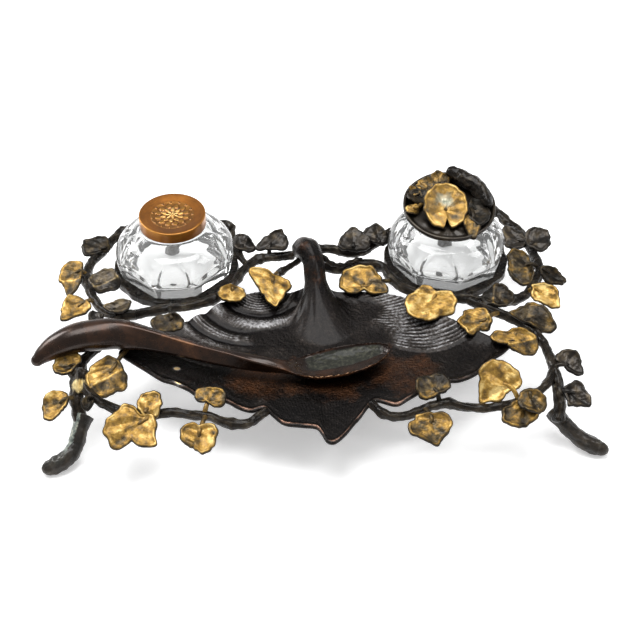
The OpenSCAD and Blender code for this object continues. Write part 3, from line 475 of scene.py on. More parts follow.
LEAF_COLOURS = [(0.0, 0.009, 0.007, 0.004), (0.2, 0.032, 0.022, 0.011), (0.38, 0.084, 0.060, 0.027),
                (0.56, 0.22, 0.130, 0.034), (0.76, 0.44, 0.255, 0.052), (1.0, 0.80, 0.58, 0.22)]
gilt_leaf = metal("gilt_leaf", LEAF_COLOURS, patch=105, patch_mix=0.75, tone_mix=1.0, metallic=0.72,
                  rough=(0.34, 0.54), grain=800, grain_depth=0.0007, wax=0.12, fleck=0.6)
OLIVE_COLOURS = [(0.0, 0.009, 0.007, 0.005), (0.25, 0.026, 0.020, 0.014), (0.5, 0.075, 0.056, 0.033),
                 (0.75, 0.20, 0.145, 0.065), (1.0, 0.42, 0.31, 0.14)]
olive_leaf = metal("olive_leaf", OLIVE_COLOURS, patch=90, tone_mix=1.0, metallic=0.7, rough=(0.28, 0.48),
                   grain=700, grain_depth=0.0006, wax=0.25)

# Each leaf: centre and height over the table; tilt; hours of its veins; hour of its stalk; what
# differs from the usual leaf; radii at hours 0 to 11; and pairs of hour and radius between them
LEAVES = {
    "leaves_left_outer": ("gilt", "vine_left_outer", [
        [(-130, 69, 33), 10, (5, 3.5, 7), 0, dict(gilt=0.12, cup=0.6),
         (6, 7, 8.5, 9, 9.8, 10.7, 9.2, 9.3, 6.5, 4.4, 4, 4.4), (4.6, 11.8)],
        [(-143, 43, 34), 10, (8.6, 6.5, 4), 1, dict(roll=4, gilt=0.5, cup=0.8, fold=(-80, 5.0, 0.35), curl=0.2),
         (4.8, 5.6, 9.6, 9.8, 9.3, 7.8, 7.2, 9, 9.5, 12.6, 8, 5.4), (1.5, 7.5, 7.5, 8, 8.6, 14.4)],
        [(-139, 13, 33), 10, (7.7, 4.5, 10.5), 1.4, dict(roll=-4, gilt=0.6),
         (8.3, 7.6, 7.3, 9.2, 9.2, 7, 7, 8.4, 10.5, 5.6, 5.6, 7.2), (7.7, 12)],
    ]),
    "leaves_left_inner": ("olive", "vine_left_outer", [
        [(-124, 34, 35), 10, (1, 3, 5), 7, dict(gilt=0.42, curl=0.2, fold=(-60, 1.5, 0.8)),
         (9, 8.6, 9.8, 9, 7.7, 8.6, 8.5, 7, 7.6, 5.7, 5, 6.8), ()],
        [(-115, 10, 35), 10, (1, 6), 7.5, dict(gilt=0.45, curl=0.3),
         (7, 8.5, 6, 4, 3, 4.4, 7, 5, 4.2, 4.5, 5, 6), (5.7, 7.5)],
        [(-126, 3, 33.5), 8, (4,), 10, dict(vine="vine_left_lower", gilt=0.25, swell=0.4),
         (), (0, 3.4, 2, 3.6, 4, 4.6, 6, 4, 8, 3.4, 10, 3.2)],
    ]),
    "leaves_left_ring": ("gilt", "vine_left_inner", [
        [(-84, -3, 33), 15, (5.5, 8, 10.5), 2.5, dict(gilt=0.2),
         (7.5, 6.5, 5.5, 5.5, 6, 9, 10.2, 9.5, 7, 6, 6, 7.5), ()],
        [(-48, 20, 35), 15, (7, 9, 11, 5.5), 3, dict(gilt=0.62),
         (7, 6.4, 4.4, 4.2, 4.8, 7.3, 8, 7.6, 6.6, 6.3, 7.4, 8), ()],
    ]),
    "leaf_stem_left": ("gilt", "twig_hook", [
        [(-25, 23, 37), 15, (4.45, 0.3, 9.27), 2.5, dict(gilt=0.7, cup=0.4),
         (11.5, 10, 7.6, 8.8, 14.2, 12, 6.9, 7, 8.2, 13.2, 11, 9.6), (1.6, 8.5, 2.5, 6.8, 3.5, 11, 4.45, 18,
          4.8, 15.5, 9.27, 16.6, 9.6, 13)],
    ]),
    "leaves_back_left": ("olive", "twig_back_left", [
        [(-41, 67, 36), 20, (4, 11), 8.5, dict(gilt=0.18),
         (4.4, 3.6, 4.3, 5.2, 6.4, 6, 5.4, 6, 6.5, 6, 7.2, 7.8), ()],
        [(-24, 66, 37.5), 20, (1.6, 10.5, 7), 8.5, dict(vine="vine_left_inner", gilt=0.18),
         (9.8, 8.4, 7, 4.2, 3.2, 4.6, 5.4, 11, 6.6, 6.8, 8.3, 9.9), (1.6, 9.5, 10.5, 10.6)],
    ]),
    "leaves_back_right": ("olive", "vine_right_back", [
        [(26, 63, 38), 20, (3, 7.3, 10.7), 9, dict(gilt=0.2),
         (9.8, 7.2, 7.6, 8.9, 6.6, 6.8, 7.7, 10, 7, 6, 7.6, 10), (7.5, 10, 10.5, 9.8)],
        [(41, 69, 36.5), 20, (3, 5.3), 9.5, dict(gilt=0.12),
         (6, 5, 6, 8.2, 7, 8, 8, 7, 6, 6, 7, 7), (5.5, 8.6)],
    ]),
    "leaf_stem_right": ("gilt", "vine_right_inner", [
        [(30, 27, 35), 15, (6.5, 4.7, 3.3, 1.5, 11.2), 8.7, dict(gilt=0.56, cup=0.2, lip=0.9, swell=0.8),
         (10.6, 9, 10.2, 10, 11.6, 14.2, 13.8, 13, 10.4, 6.2, 10.8, 15.4), (3.5, 11.6, 5.5, 13.2, 6.5, 15, 8.6,
          6.6, 9.5, 9.2, 11.5, 13.4)],
    ]),
    "leaves_right_ring": ("gilt", "vine_right_outer", [
        [(67, 3, 36), 15, (7, 3.3, 0.3), 2, dict(gilt=0.72, swell=1.6),
         (14.3, 13.8, 8.6, 13, 12, 13.4, 14.6, 14.3, 12.8, 11.6, 9.2, 13.6), (1.5, 10.5, 2.4, 9.8, 3.5, 14, 4.5,
          11.3, 7.5, 14.4, 9.6, 9.4, 10.5, 10.8, 11.5, 14)],
        [(107, 9, 35), 15, (2.6, 0, 5.5), 9, dict(gilt=0.18, fold=(170, 2.5, 0.5)),
         (9.7, 7.4, 7.6, 8, 6.8, 8, 8.2, 8, 6.4, 7.6, 8, 8), (5.5, 8.6)],
    ]),
    "leaves_right_middle": ("gilt", "vine_right_lower", [
        [(91, -13, 34.5), 15, (6, 8, 2, 4), 0.5, dict(gilt=0.62, fold=(-50, 2.5, 0.5), lip=0.7),
         (8.9, 8.8, 10.4, 8.8, 9, 7.6, 10.2, 7.5, 9.8, 6, 4.2, 7.8), (1.6, 10, 8.5, 9)],
        [(111, -30, 34.5), 15, (5.4, 0.3, 10.7), 2.5, dict(gilt=0.64, lip=0.7, fold=(-75, 2.0, 0.35)),
         (12.8, 9.6, 7.8, 7, 6.6, 12.6, 12, 4.8, 5.6, 6.3, 9.3, 12.5), (0.5, 11.3, 4.5, 9.6, 5.5, 13.4, 6.4,
          8.6, 10.5, 11.8, 11.5, 12.9)],
    ]),
    "leaf_right_tip": ("gilt", "vine_right_lower", [
        [(125, -11, 34.5), 20, (5.5, 3.3, 11), 6.5, dict(gilt=0.28, lip=0.7),
         (9.2, 9, 9, 9.5, 8.4, 11, 9, 5.5, 5, 6.5, 10, 13.4), (3.5, 10, 5.5, 14, 10.4, 12.4, 11.5, 11.6)],
    ]),
    "leaf_right_big": ("gilt", "vine_right_front", [
        [(96, -67, 38), 40, (7.5, 4.5, 2, 0.3), 11.2, dict(gilt=0.78, cup=0.3, swell=1.3),
         (12.3, 11.4, 10.8, 11.6, 12, 11.7, 9.4, 11.6, 11.8, 10.2, 6.8, 8.8), (5.5, 9.8, 6.5, 10.4, 7.5, 14.8,
          8.5, 10.6, 9.5, 8.6, 10.5, 7, 11.5, 11.4)],
    ]),
    "leaves_front_right": ("gilt", "vine_right_front", [
        [(60, -66, 36), 15, (0.5, 2, 6, 8), 10, dict(gilt=0.3),
         (9.2, 9, 8.2, 6.2, 6.8, 7.8, 8.4, 8.6, 8.4, 6.8, 6.2, 8), (0.5, 9.6, 1.5, 8.8, 7.5, 9.4, 11.5, 9.2)],
        [(56, -92, 30.5), 20, (0.4, 6.4, 9.7, 4.5), 2.4, dict(gilt=0.52, lip=0.7, swell=1.4),
         (11.2, 11.8, 8.4, 7.8, 8.2, 8.2, 10.6, 9.9, 7.8, 8.4, 9.8, 9.4), (0.5, 12, 1.4, 11, 2.4, 7.6, 4.5, 9,
          5.5, 10.2, 6.5, 11, 8.6, 7.6, 9.4, 9.8, 9.8, 10.8, 10.5, 9, 11.5, 10.4)],
    ]),
    "leaves_right_corner": ("gilt", "vine_right_front", [
        [(107, -83, 30), 20, (7, 5.5, 9), 2, dict(gilt=0.44, lip=0.7),
         (9, 7.6, 7, 7, 7, 7.4, 10.4, 11.8, 9, 7.6, 6.6, 7.8), (5.5, 10, 6.5, 11.2, 7.5, 10.6)],
        [(112, -79, 34.5), 20, (10, 0, 8), 3, dict(gilt=0.42, lip=0.6),
         (7.6, 6.4, 6.8, 6.4, 6.6, 6.2, 6.2, 6.4, 6.4, 6.6, 7.6, 8), ()],
    ]),
    "leaves_right_leg": ("olive", "vine_right_lower", [
        [(139, -48, 32), 20, (3.6, 2, 10.4), 6.5, dict(gilt=0.3),
         (5.9, 6.6, 7.6, 8, 8.2, 8, 3.4, 2.8, 3.6, 5, 8.2, 7.6), (3.5, 8.6, 5.5, 6.4, 10.5, 9)],
        [(141, -67, 27), 20, (3, 7.6, 10), 5.5, dict(vine="leg_front_right", gilt=0.28),
         (5, 4.4, 5.8, 7, 6.2, 8, 6.6, 7, 8, 7, 8.8, 6.4), (7.6, 9.4, 10.5, 8)],
    ]),
    "leaves_right_outer": ("gilt", "vine_right_outer", [
        [(135, 10, 34), 20, (10.4, 1, 7), 4.6, dict(gilt=0.84, lip=0.6),
         (7.4, 7.4, 6.4, 7.6, 8, 7.4, 7.4, 6.8, 6.2, 7.2, 9.4, 8.8), (4.6, 9.4, 10.5, 11)],
        [(143, 28, 34), 20, (10.5,), 4.6, dict(gilt=0.1),
         (5.3, 3.8, 4, 4.6, 7.4, 8, 5.6, 5.4, 6, 6.3, 8, 8), (4.5, 8.4, 11.5, 7.4)],
        [(126, 37, 33.5), 15, (9.4, 3.4, 7), 1, dict(gilt=0.3, lip=0.8),
         (5.8, 6.2, 9.4, 11.8, 12.2, 8, 7.6, 9, 10, 12.2, 10, 6.8), (2.5, 11, 3.5, 13, 4.6, 11, 8.6, 12, 9.6,
          12.6)],
    ]),
    "leaves_right_back": ("olive", "vine_right_outer", [
        [(140, 63, 34), 15, (1.4, 4.4, 9.3), 7, dict(gilt=0.2),
         (7, 8.6, 8.4, 7.8, 8.6, 7.8, 6.8, 7.6, 7.4, 8.6, 7.6, 7.6), (1.5, 10, 9.5, 8.6)],
        [(125, 68, 33), 15, (4, 8), 11, dict(gilt=0.28),
         (6.6, 8, 6, 8, 8, 6, 5.4, 5.4, 7.6, 9, 9.6, 9), ()],
    ]),
    "leaves_left_leg": ("gilt", "vine_left_lower", [
        [(-139, -38, 34), 10, (4, 6, 8), 0, dict(gilt=0.5),
         (4.6, 8, 8.5, 8.5, 8, 7.8, 7.4, 7.6, 7.2, 6, 4.6, 4), (1.5, 9)],
        [(-143, -63, 28), 10, (3.5, 6, 8.3), 1.5, dict(vine="leg_front_left", gilt=0.62),
         (), (0, 4.8, 1, 6, 2, 8.6, 3, 8.8, 4, 8, 5, 7.4, 6, 7.2, 7, 7.7, 7.7, 9.8, 8.4, 11, 9, 8.2, 10, 4.6,
          11, 4.2)],
    ]),
    "leaf_left_tip": ("gilt", "twig_left_tip", [
        [(-117, -47, 33), 10, (6.6, 5, 8.3, 4), 2,
         dict(gilt=0.56, cup=-1, fold=(-55, 1.0, 0.35), lip=0.9, swell=1.5),
         (10.4, 9.8, 11.6, 14.3, 13, 11.2, 10.8, 11, 11.6, 11, 8.4, 10.5), ()],
    ]),
    "leaf_left_big": ("gilt", "vine_left_front", [
        [(-101, -86, 32), 20, (3.4, 6, 7.6, 10.6), 1, dict(gilt=0.62, cup=0.6, swell=1.6, lip=0.8),
         (12.6, 12.3, 8, 12.3, 12.4, 12, 14, 13.3, 13.2, 6.8, 14, 14.2), (1.5, 9.5, 2.5, 9.5, 3.5, 13.8, 4.5,
          12, 5.5, 13.6, 6.5, 14.4, 7.5, 15, 8.5, 9.8, 9.5, 11, 10.7, 17, 11.5, 11.6)],
    ]),
    "leaves_front_left": ("gilt", "vine_left_front", [
        [(-92, -74, 36), 20, (2, 4, 10), 8, dict(gilt=0.68),
         (6.1, 6.3, 8.5, 7, 7.2, 6.4, 5.8, 5.7, 6.3, 6.3, 7.6, 5.6), ()],
        [(-60, -69, 34.5), 10, (5.3, 3, 0.6, 10.6), 8, dict(gilt=0.56),
         (8, 8, 7, 6.6, 8, 8.9, 6.6, 4, 3, 3.8, 4.9, 7.3), ()],
        [(-66, -95, 30.5), 15, (4.5, 1.3, 9.5), 2.7, dict(gilt=0.66, swell=1.3, lip=0.8),
         (8.4, 10.8, 9, 7, 10, 10, 8.4, 5.8, 5, 7.2, 9.6, 8.7), (0.5, 9.8, 1.4, 11.5, 2.6, 7.2, 3.5, 9, 4.5,
          10.5, 9.4, 10.2)],
        [(-126, -64, 30), 0, (9,), 3, dict(gilt=0.1, swell=0.3),
         (), (0, 2.6, 3, 3, 6, 2.6, 9, 4.4)],
    ]),
}
for name, (kind, vine, group) in LEAVES.items():
    skins = []
    for k, (centre, tilt, veins, stalk, looks, whole, between) in enumerate(group):
        looks = {"vine": vine, "seed": len(name) + 11 * k + ord(name[-1]), **looks}
        skins += leaf(centre, tilt, veins, stalk, whole, between, **looks)
    cast(name + "_blades", skins, gilt_leaf if kind == "gilt" else olive_leaf, "stand", [name])

# ---------------------------------------
# Pen tray. A wide dish cast like two spread leaves, with folds chased on its back
# slopes and a bead along the front edge. A hollow stem opens out of it like a
# trumpet, leans back and curls over into a hook.
# ---------------------------------------
TRAY_HALF, TRAY_DEEP, TRAY_T, EDGE_OUT = 110.0, 5.4, 2.2, 0.8
TRAY_BACK = np.array([
    [-111, -26], [-103, -20], [-95, -15], [-85, -9], [-76, -3], [-68, 3], [-62, 7], [-54, 15], [-48, 19],
    [-41, 21], [-31, 24], [-21, 23], [-14, 22], [-8, 26], [0, 28], [8, 26], [14, 22], [28, 21], [44, 17],
    [53, 13], [64, 4], [75, -5], [82, -11], [92, -19], [100, -25], [108, -30],
], float)
TRAY_FRONT = np.array([
    [-111, -28], [-103, -35], [-95, -42], [-87, -49], [-80, -52], [-72, -57], [-64, -64], [-52, -66],
    [-45, -71], [-38, -74], [-31, -72], [-26, -78], [-20.5, -84], [-12, -86], [-5.5, -87], [-2.5, -88.5],
    [-0.3, -93], [1.6, -98], [4.6, -99.4], [7.8, -97.4], [12, -92.5], [16, -86.5], [20, -81], [25, -73],
    [30, -69], [40, -73], [47, -69], [54, -64], [61, -59], [68, -57], [77, -57], [87, -52], [95, -43],
    [103, -37], [108, -32],
], float)


def step(d, width):
    """Rises from 0 to 1 over about twice the width round d = 0."""
    return 1 / (1 + np.exp(-np.clip(3 * d / width, -60, 60)))


def eased(x, table):
    """Edge of the tray at x: the curve through the table's points."""
    return np.interp(x, *through(table, 8).T)


# Height of the left folds at each distance from the middle of their arcs
FOLDS = through([[0, 0], [8, 0.25], [16, 0.35], [19, 0], [21.4, -0.9], [24, 0.1], [27.5, 0.75], [31, 0.5],
                 [34.5, -0.95], [37.5, 0.25], [40.5, 0.7], [43, 0.2], [45, -0.6], [47, 0.2], [49.5, 0.35],
                 [53, 0], [70, 0]])
# Where the right ribs are counted, the middle of those arcs, two spots worn bright, and the raised seam
RIB_X = 45
ARC_X, ARC_Y = -32, 27.4
WORN_X, WORN_Y, WORN_EDGE_X = -79, -37.5, -78
SEAM = np.array([[-104, -95, -87.5, -79.4, -67, -58], [-20, -20.5, -23, -28, -33.6, -36]])


def tray_face(x, y):
    """Height and tone of the dish at x, y, where v is the share of the way from its
    back edge to its front edge: rim - deep * (1 - side^2)^0.7 * (4 v (1 - v))^0.8,
    plus chased folds, fine ribs and the front bead. Left folds lie on arcs round
    ARC_X, ARC_Y. Right ribs lie on lines y = c + b(c) s + q(c) s^2, s = x - RIB_X."""
    back, front = eased(x, TRAY_BACK), eased(x, TRAY_FRONT)
    v = np.clip((y - back) / (front - back), 0, 1)
    side = np.minimum(1, np.abs(x) / TRAY_HALF)
    hollow = np.clip(4 * v * (1 - v), 0, 1)
    rim = (FRAME_Z + 1 + 2 * side) * (1 - v) + (FRAME_Z - 1 + 4 * side**2) * v
    z = rim - TRAY_DEEP * (1 - side**2) ** 0.7 * hollow**0.8
    spot = np.stack([x, y, 0 * x], -1)

    arc = np.hypot(0.85 * (x - ARC_X), y - ARC_Y) + 0.9 * waves(spot, 40, 17)
    left = step(-x - 7, 5) * step(y + 27, 5) * (1 - step(arc - 31, 3) * step(x + 38, 7))
    left_fold = np.interp(arc, *FOLDS.T)
    fine = np.sin(arc * 3.3 + 1.2 * waves(spot, 18, 18)) * (step(19 - arc, 2) + 0.8 * bell(arc - 41, 3.4))
    fine = fine + 0.5 * np.sin(arc * 7.1 + 2.4 * waves(spot, 26, 28)) * step(arc - 19, 2)

    s = x - RIB_X
    c = y + 0 * s
    for _ in range(12):
        slope = np.interp(c, [-22, -5, 18], [-0.62, -0.15, 0.22])
        bend = np.interp(c, [-22, -14, 18], [0.0165, 0.0115, 0.006])
        c = 0.5 * c + 0.5 * (y - slope * s - bend * s**2)
    right = step(x - 37 - 6 * waves(spot, 20, 21), 5) * step(c + 23, 0.8)
    rib = 0.8 * np.sin(c * 2.9 + 1.2 * waves(spot, 22, 19)) + 0.35 * np.sin(c * 6.1 + 2.0 * waves(spot, 22, 29))
    right_fold = rib * (0.65 + 0.35 * waves(spot, 11, 22))

    seam = bell(y - np.interp(x, *SEAM), 0.8) * step(x + 104, 4) * step(-60 - x, 6)
    z = z + 0.35 * seam + (left_fold + 0.14 * fine) * left + (0.26 * right_fold + 0.55) * right
    tip = step(-y - 62, 8) * step(26 - np.abs(x - 2), 8)
    z = z + 0.08 * tip * np.sin((x - 4) * 3.4 / (1 + 0.012 * (y + 60)) + 0.4 * waves(spot, 10, 6))
    d = (y - front) * 0.85
    along_front = step(96 - np.abs(x), 8)
    bead = bell(d - 1.0, 1.1) * along_front
    z = z + 0.9 * bead + 0.25 * waves(spot, 16, 9) * hollow + 0.06 * waves(spot, 4, 10)
    z = z - 0.5 * bell(d - 4, 2) * along_front

    # Tone: the fold ridges, their fine lines and the right ribs are lifted to silver grey by a painted sheen
    painted_sheen = 0.6 + 0.4 * waves(spot, 24, 20)
    # The raised seam is lighter by a painted highlight line
    tone = 0.26 + 0.06 * waves(spot, 18, 11) + 0.3 * seam + left * (0.06 + 0.95 * left_fold * painted_sheen + 0.26 * fine)
    tone = tone + right * (0.32 + 0.6 * right_fold * painted_sheen) - 0.06 * tip
    # The bead is lighter both for worn copper and for a painted highlight along its round
    tone = tone + 0.45 * bead * (0.7 + 0.5 * waves(spot, 12, 13))
    tone = np.minimum(tone, 0.8) + 1.6 * bell(np.hypot((x - WORN_X) / 3.4, (y - WORN_Y) / 2.6), 1) ** 3
    return z, tone + 0.9 * bell(np.hypot((x - WORN_EDGE_X) / 2, (y - front - 1.5) / 1.6), 1)


# Both counts are odd, so that every second point of the grid ends on its border
TRAY_COLS, TRAY_ROWS = 421, 157
tx = np.linspace(-111, 108, TRAY_COLS)[:, None]
tv = (0.5 - 0.5 * np.cos(np.linspace(0, np.pi, TRAY_ROWS)))[None, :]
ty = eased(tx, TRAY_BACK) * (1 - tv) + eased(tx, TRAY_FRONT) * tv
tx = tx + 0 * tv
tz, tt = tray_face(tx, ty)
top = np.stack([tx, ty, tz], -1)


def round_edge(grid):
    """The border of a grid, once round."""
    return np.concatenate([grid[:, 0], grid[-1, 1:], grid[-2::-1, -1], grid[0, -2:0:-1]])


# The wall is a half round. Its lowest points meet in pairs, for the underside has half as many
loop, loop_tone = round_edge(top), round_edge(tt)
outward = np.roll(loop, 1, 0) - np.roll(loop, -1, 0)
outward = np.stack([outward[:, 1], -outward[:, 0], 0 * outward[:, 0]], 1)
outward /= np.linalg.norm(outward, axis=1)[:, None] + 1e-9
half_turn = np.radians([0, 40, 90, 140, 180])[:, None, None]
wall = loop + outward * (EDGE_OUT * np.sin(half_turn)) + np.array([0, 0, -0.5 * TRAY_T]) * (1 - np.cos(half_turn))
wall[-1, 1::2] = wall[-1, 0::2]
across, along_y = np.linspace(0, 44, TRAY_COLS), np.linspace(0, 30, TRAY_ROWS)
wall_tone = np.array([1, 0.95, 0.8, 0.6, 0.4])[:, None] * loop_tone
low = top[::2, ::2] - [0, 0, TRAY_T]
tray_skins = [
    dict(points=top, wrap=False, u=across, v=along_y, tone=tt),
    dict(points=wall, wrap=True, u=np.linspace(0, 0.3, 5), v=np.linspace(0, 50, len(loop) + 1), tone=wall_tone),
    dict(points=low, wrap=False, u=across[::2], v=along_y[::2], tone=0.3 + 0 * low[..., 0]),
]

# Rings round the stem: a circle of radius stem_r across its middle line at each
# station. Before the first, cubic curves spread that circle out to an oval on the dish.
STEM = [[1, 26, 38], [0.6, 30, 41.6], [0.2, 34, 44.3], [-1, 38.5, 46.3], [-2.8, 43.5, 47], [-5, 48.5, 45],
        [-7, 53, 40.5], [-8, 57, 33]]
stem_line = through(STEM, 12)
share = np.linspace(0, 1, len(stem_line))[:, None, None]
stem_r = np.interp(share, [0, 0.3, 0.42, 0.55, 0.68, 0.85, 1], [6.4, 6.2, 6.6, 7.4, 6.6, 5, 2.6])
ahead = unit(np.gradient(stem_line, axis=0))
cross_way = np.stack([np.ones(len(ahead)), -ahead[:, 0], -ahead[:, 0]], 1)
cross_way = unit(cross_way - ahead * (cross_way * ahead).sum(1)[:, None])
face_way = np.cross(cross_way, ahead)
turn = ring_of(96)[None, :, None]
tube = stem_line[:, None] + stem_r * (cross_way[:, None] * np.cos(turn) + face_way[:, None] * np.sin(turn))
grooves = 0.018 * np.sin(5 * turn + 0.6) + 0.012 * np.sin(9 * turn + 6 * share)
tube = stem_line[:, None] + (tube - stem_line[:, None]) * (1 + grooves)
oval = np.stack([4 + 22 * np.cos(turn[0, :, 0]), 3 - 23 * np.sin(turn[0, :, 0])], 1)
oval[:, 1] = np.minimum(oval[:, 1], eased(oval[:, 0], TRAY_BACK) - 0.4)
spread = unit(oval - [4, 3])
foot_z, foot_tone = tray_face(*oval.T)
fall = foot_z - tray_face(*(oval - spread).T)[0]
leave = np.column_stack([spread, np.clip(fall, -0.3, 0.3)]) * 22
t = np.linspace(0, 1, 30)[:-1, None, None]
oval_ring = np.column_stack([oval, foot_z - 0.05])
reach = -ahead[0] * 15
flare = ((2 * t**3 - 3 * t**2 + 1) * oval_ring + (t**3 - 2 * t**2 + t) * -leave
         + (3 * t**2 - 2 * t**3) * tube[0] + (t**3 - t**2) * -reach)
narrow, beyond = np.array([[0.7, 0.0], [0.8, 1.1]])[:, :, None, None]
tail = stem_line[-1] + (tube[-1] - stem_line[-1]) * narrow + ahead[-1] * beyond
buried = oval_ring - [0, 0, 1.2]
stem_points = np.concatenate([0 * buried[None] + buried.mean(0), buried[None], flare, tube, tail])
blend = np.r_[0, 0, t[:, 0, 0], np.ones(len(tube) + 2)][:, None]
stem_tone = (1 - blend) * foot_tone + blend * (0.25 + 0.08 * waves(stem_points, 6, 63))
along_stem = np.linspace(0, 9, len(stem_points))
stem_skin = dict(points=stem_points, wrap=True, u=along_stem, v=np.linspace(0, 4, 97), tone=stem_tone)
# The upper grey stops carry the painted silver sheen of the folds and ribs
TRAY_COLOURS = [(0.0, 0.004, 0.003, 0.003), (0.3, 0.009, 0.007, 0.006), (0.45, 0.024, 0.019, 0.016),
                (0.6, 0.080, 0.075, 0.073), (0.8, 0.30, 0.295, 0.30), (1.0, 0.55, 0.55, 0.57)]


def rust(tree, place, colour):
    """Red-brown patches along the middle of the dish and on the hook, a copper edge
    in front, and bare gold spots where the tone is above one."""
    parts, tone = put(tree, "SeparateXYZ", {0: place}).outputs, tone_of(tree)
    band = fade(tree, maths(tree, "ABSOLUTE", plus(tree, parts["Y"], 0.046)), 0.008, 0.036, 0.3, 0)
    hook = fade(tree, parts["Z"], 0.027, 0.042, 0, 0.24)
    cloud = noise(tree, place, 45, 8, 0.75)
    reach = fade(tree, maths(tree, "ABSOLUTE", plus(tree, parts["X"], -0.008)), 0.052, 0.070, 0, -0.22)
    amount = fade(tree, plus(tree, cloud, plus(tree, band, reach), hook), 0.70, 0.90, 0, 0.75)
    dull = fade(tree, tone, 0.5, 0.75, 1, 0)
    rusty = cover(tree, times(tree, amount, dull), colour, (0.085, 0.033, 0.012, 1))
    front = fade(tree, parts["Y"], -0.054, -0.064)
    rubbed = fade(tree, times(tree, tone, plus(tree, cloud, 0.5)), 0.40, 0.62, 0, 0.85)
    edged = cover(tree, times(tree, rubbed, front), rusty, (0.34, 0.19, 0.13, 1))
    return cover(tree, fade(tree, tone, 0.95, 1.15), edged, (1.0, 0.74, 0.36, 1))


tray_bronze = metal("tray_bronze", TRAY_COLOURS, patch=70, patch_mix=0.4, metallic=0.9, rough=(0.24, 0.42),
                    grain=650, grain_depth=0.0013, wax=0.14, tint=rust, fleck=1.9)
cast("tray_dish", tray_skins + [stem_skin], tray_bronze, "stand", ["pen_tray"])

# ---------------------------------------
# Ring seats. Two turned bronze rings, each with a ledge under the glass. Their outer
# wall is worked like bark where it shows between the vines.
# ---------------------------------------


def lathe(profile, centre, count=192, tone=0.5, change=None):
    """Closed solid of revolution: (radius, height) pairs turned about a vertical axis.
    A change function of angle, radius and height may return new radii and heights."""
    r, z = np.asarray(profile, float).T
    run = np.r_[0, np.cumsum(np.hypot(np.diff(r), np.diff(z)))]
    a = ring_of(count)[None, :]
    r, z = r[:, None] + 0 * a, z[:, None] + 0 * a
    if change:
        r, z = change(a, r, z)
    points = np.stack([centre[0] + r * np.cos(a), centre[1] + r * np.sin(a), centre[2] + z], -1)
    return dict(points=points, wrap=True, u=run / 10, v=np.linspace(0, 20, count + 1), tone=tone + 0 * r)


def rounded(profile, size=0.5, steps=4):
    """Profile with its corners cut by quadratic curves that start size before each."""
    p = np.asarray(profile, float)
    made = [p[0]]
    for a, b, c in zip(p[:-2], p[1:-1], p[2:]):
        one, two = a - b, c - b
        one, two = (w / np.linalg.norm(w) * min(size, np.linalg.norm(w) * 0.45) for w in (one, two))
        t = np.linspace(0, 1, steps + 1)[:, None]
        made.extend((1 - t) ** 2 * (b + one) + 2 * t * (1 - t) * b + t**2 * (b + two))
    return np.array(made + [p[-1]])


def bark_wall(a, r, z):
    """Outer wall with lumps and three strands that wind slowly round the ring."""
    outer = r > 33
    x, y = r * np.cos(a), r * np.sin(a)
    lump = 0.4 * waves(np.stack([x, y, 3 * z], -1), 8, 4) + 0.3 * np.sin(2.2 * z + 14 * a)
    return r + (lump - 0.5) * outer, z + 0.25 * outer * (z > 1) * waves(np.stack([x, y, z], -1), 6, 8)


LEDGE_Z = 28.8
ring_profile = rounded([[27.95, -1], [27.95, -2.4], [38, -2.4], [38, 1.6], [37.4, 2.2], [34, 2.2], [34, 0],
                        [27.95, 0], [27.95, -1]])
for side, name in ((-1, "ring_left"), (1, "ring_right")):
    ring = lathe(ring_profile, (side * RING_X, RING_Y, LEDGE_Z), tone=0.42, change=bark_wall)
    cast(name + "_seat", [ring], bark_bronze, "stand", [name])

# ---------------------------------------
# Inkwells. Heavy pressed glass: a round shoulder cut by eight flats, so that each
# flat ends in an arch, over a round ink space with a thick floor.
# ---------------------------------------
BODY_TOP = 31.3
FLAT_R, FLAT_RISE = 33.3, 0.24
HOLLOW_DEEP, HOLLOW_Z, HOLLOW_H = 1.8, 9, 13
SHOULDER = [[1, 33.6], [3.5, 34.2], [6.3, 35.1], [11.6, 35.7], [14, 35.5], [16.3, 34.9], [19, 33.6], [21.9, 31.4],
            [24.5, 28.4], [26.5, 25.2]]


def eight_flats(corners):
    """Radius min(round form, (FLAT_R * cos(half) + FLAT_RISE * z) / cos(off)), where
    half is half a flat's angle and off is the angle from its middle. Inside, the same
    angles give arched hollows, where (off / half)^2 + ((z - HOLLOW_Z) / HOLLOW_H)^2 <
    0.93^2."""
    corners = np.radians(np.r_[corners, corners[0] + 360.0])
    middle, halves = (corners[1:] + corners[:-1]) / 2, (corners[1:] - corners[:-1]) / 2

    def change(a, r, z):
        turned = np.mod(a - corners[0], 2 * np.pi) + corners[0]
        which = np.clip(np.searchsorted(corners, turned, side="right") - 1, 0, 7)
        off, half = turned - middle[which], halves[which]
        inner = (r < 28.6) & (r > 15) & (z > 6) & (z < 28)
        outer = (r > 28.7) & (z < 25)
        flat = (FLAT_R * np.cos(half) + FLAT_RISE * z) / np.cos(off)
        arch = np.hypot(off / half, (z - HOLLOW_Z) / HOLLOW_H)
        carved = HOLLOW_DEEP * step(0.93 - arch, 0.1) - 0.5 * HOLLOW_DEEP
        carved = carved * np.clip((r - 16) / 6, 0, 1) * np.clip((z - 6.2) / 1.5, 0, 1)
        return np.where(inner, r + carved, np.where(outer, np.minimum(r, flat), r)), z

    return change


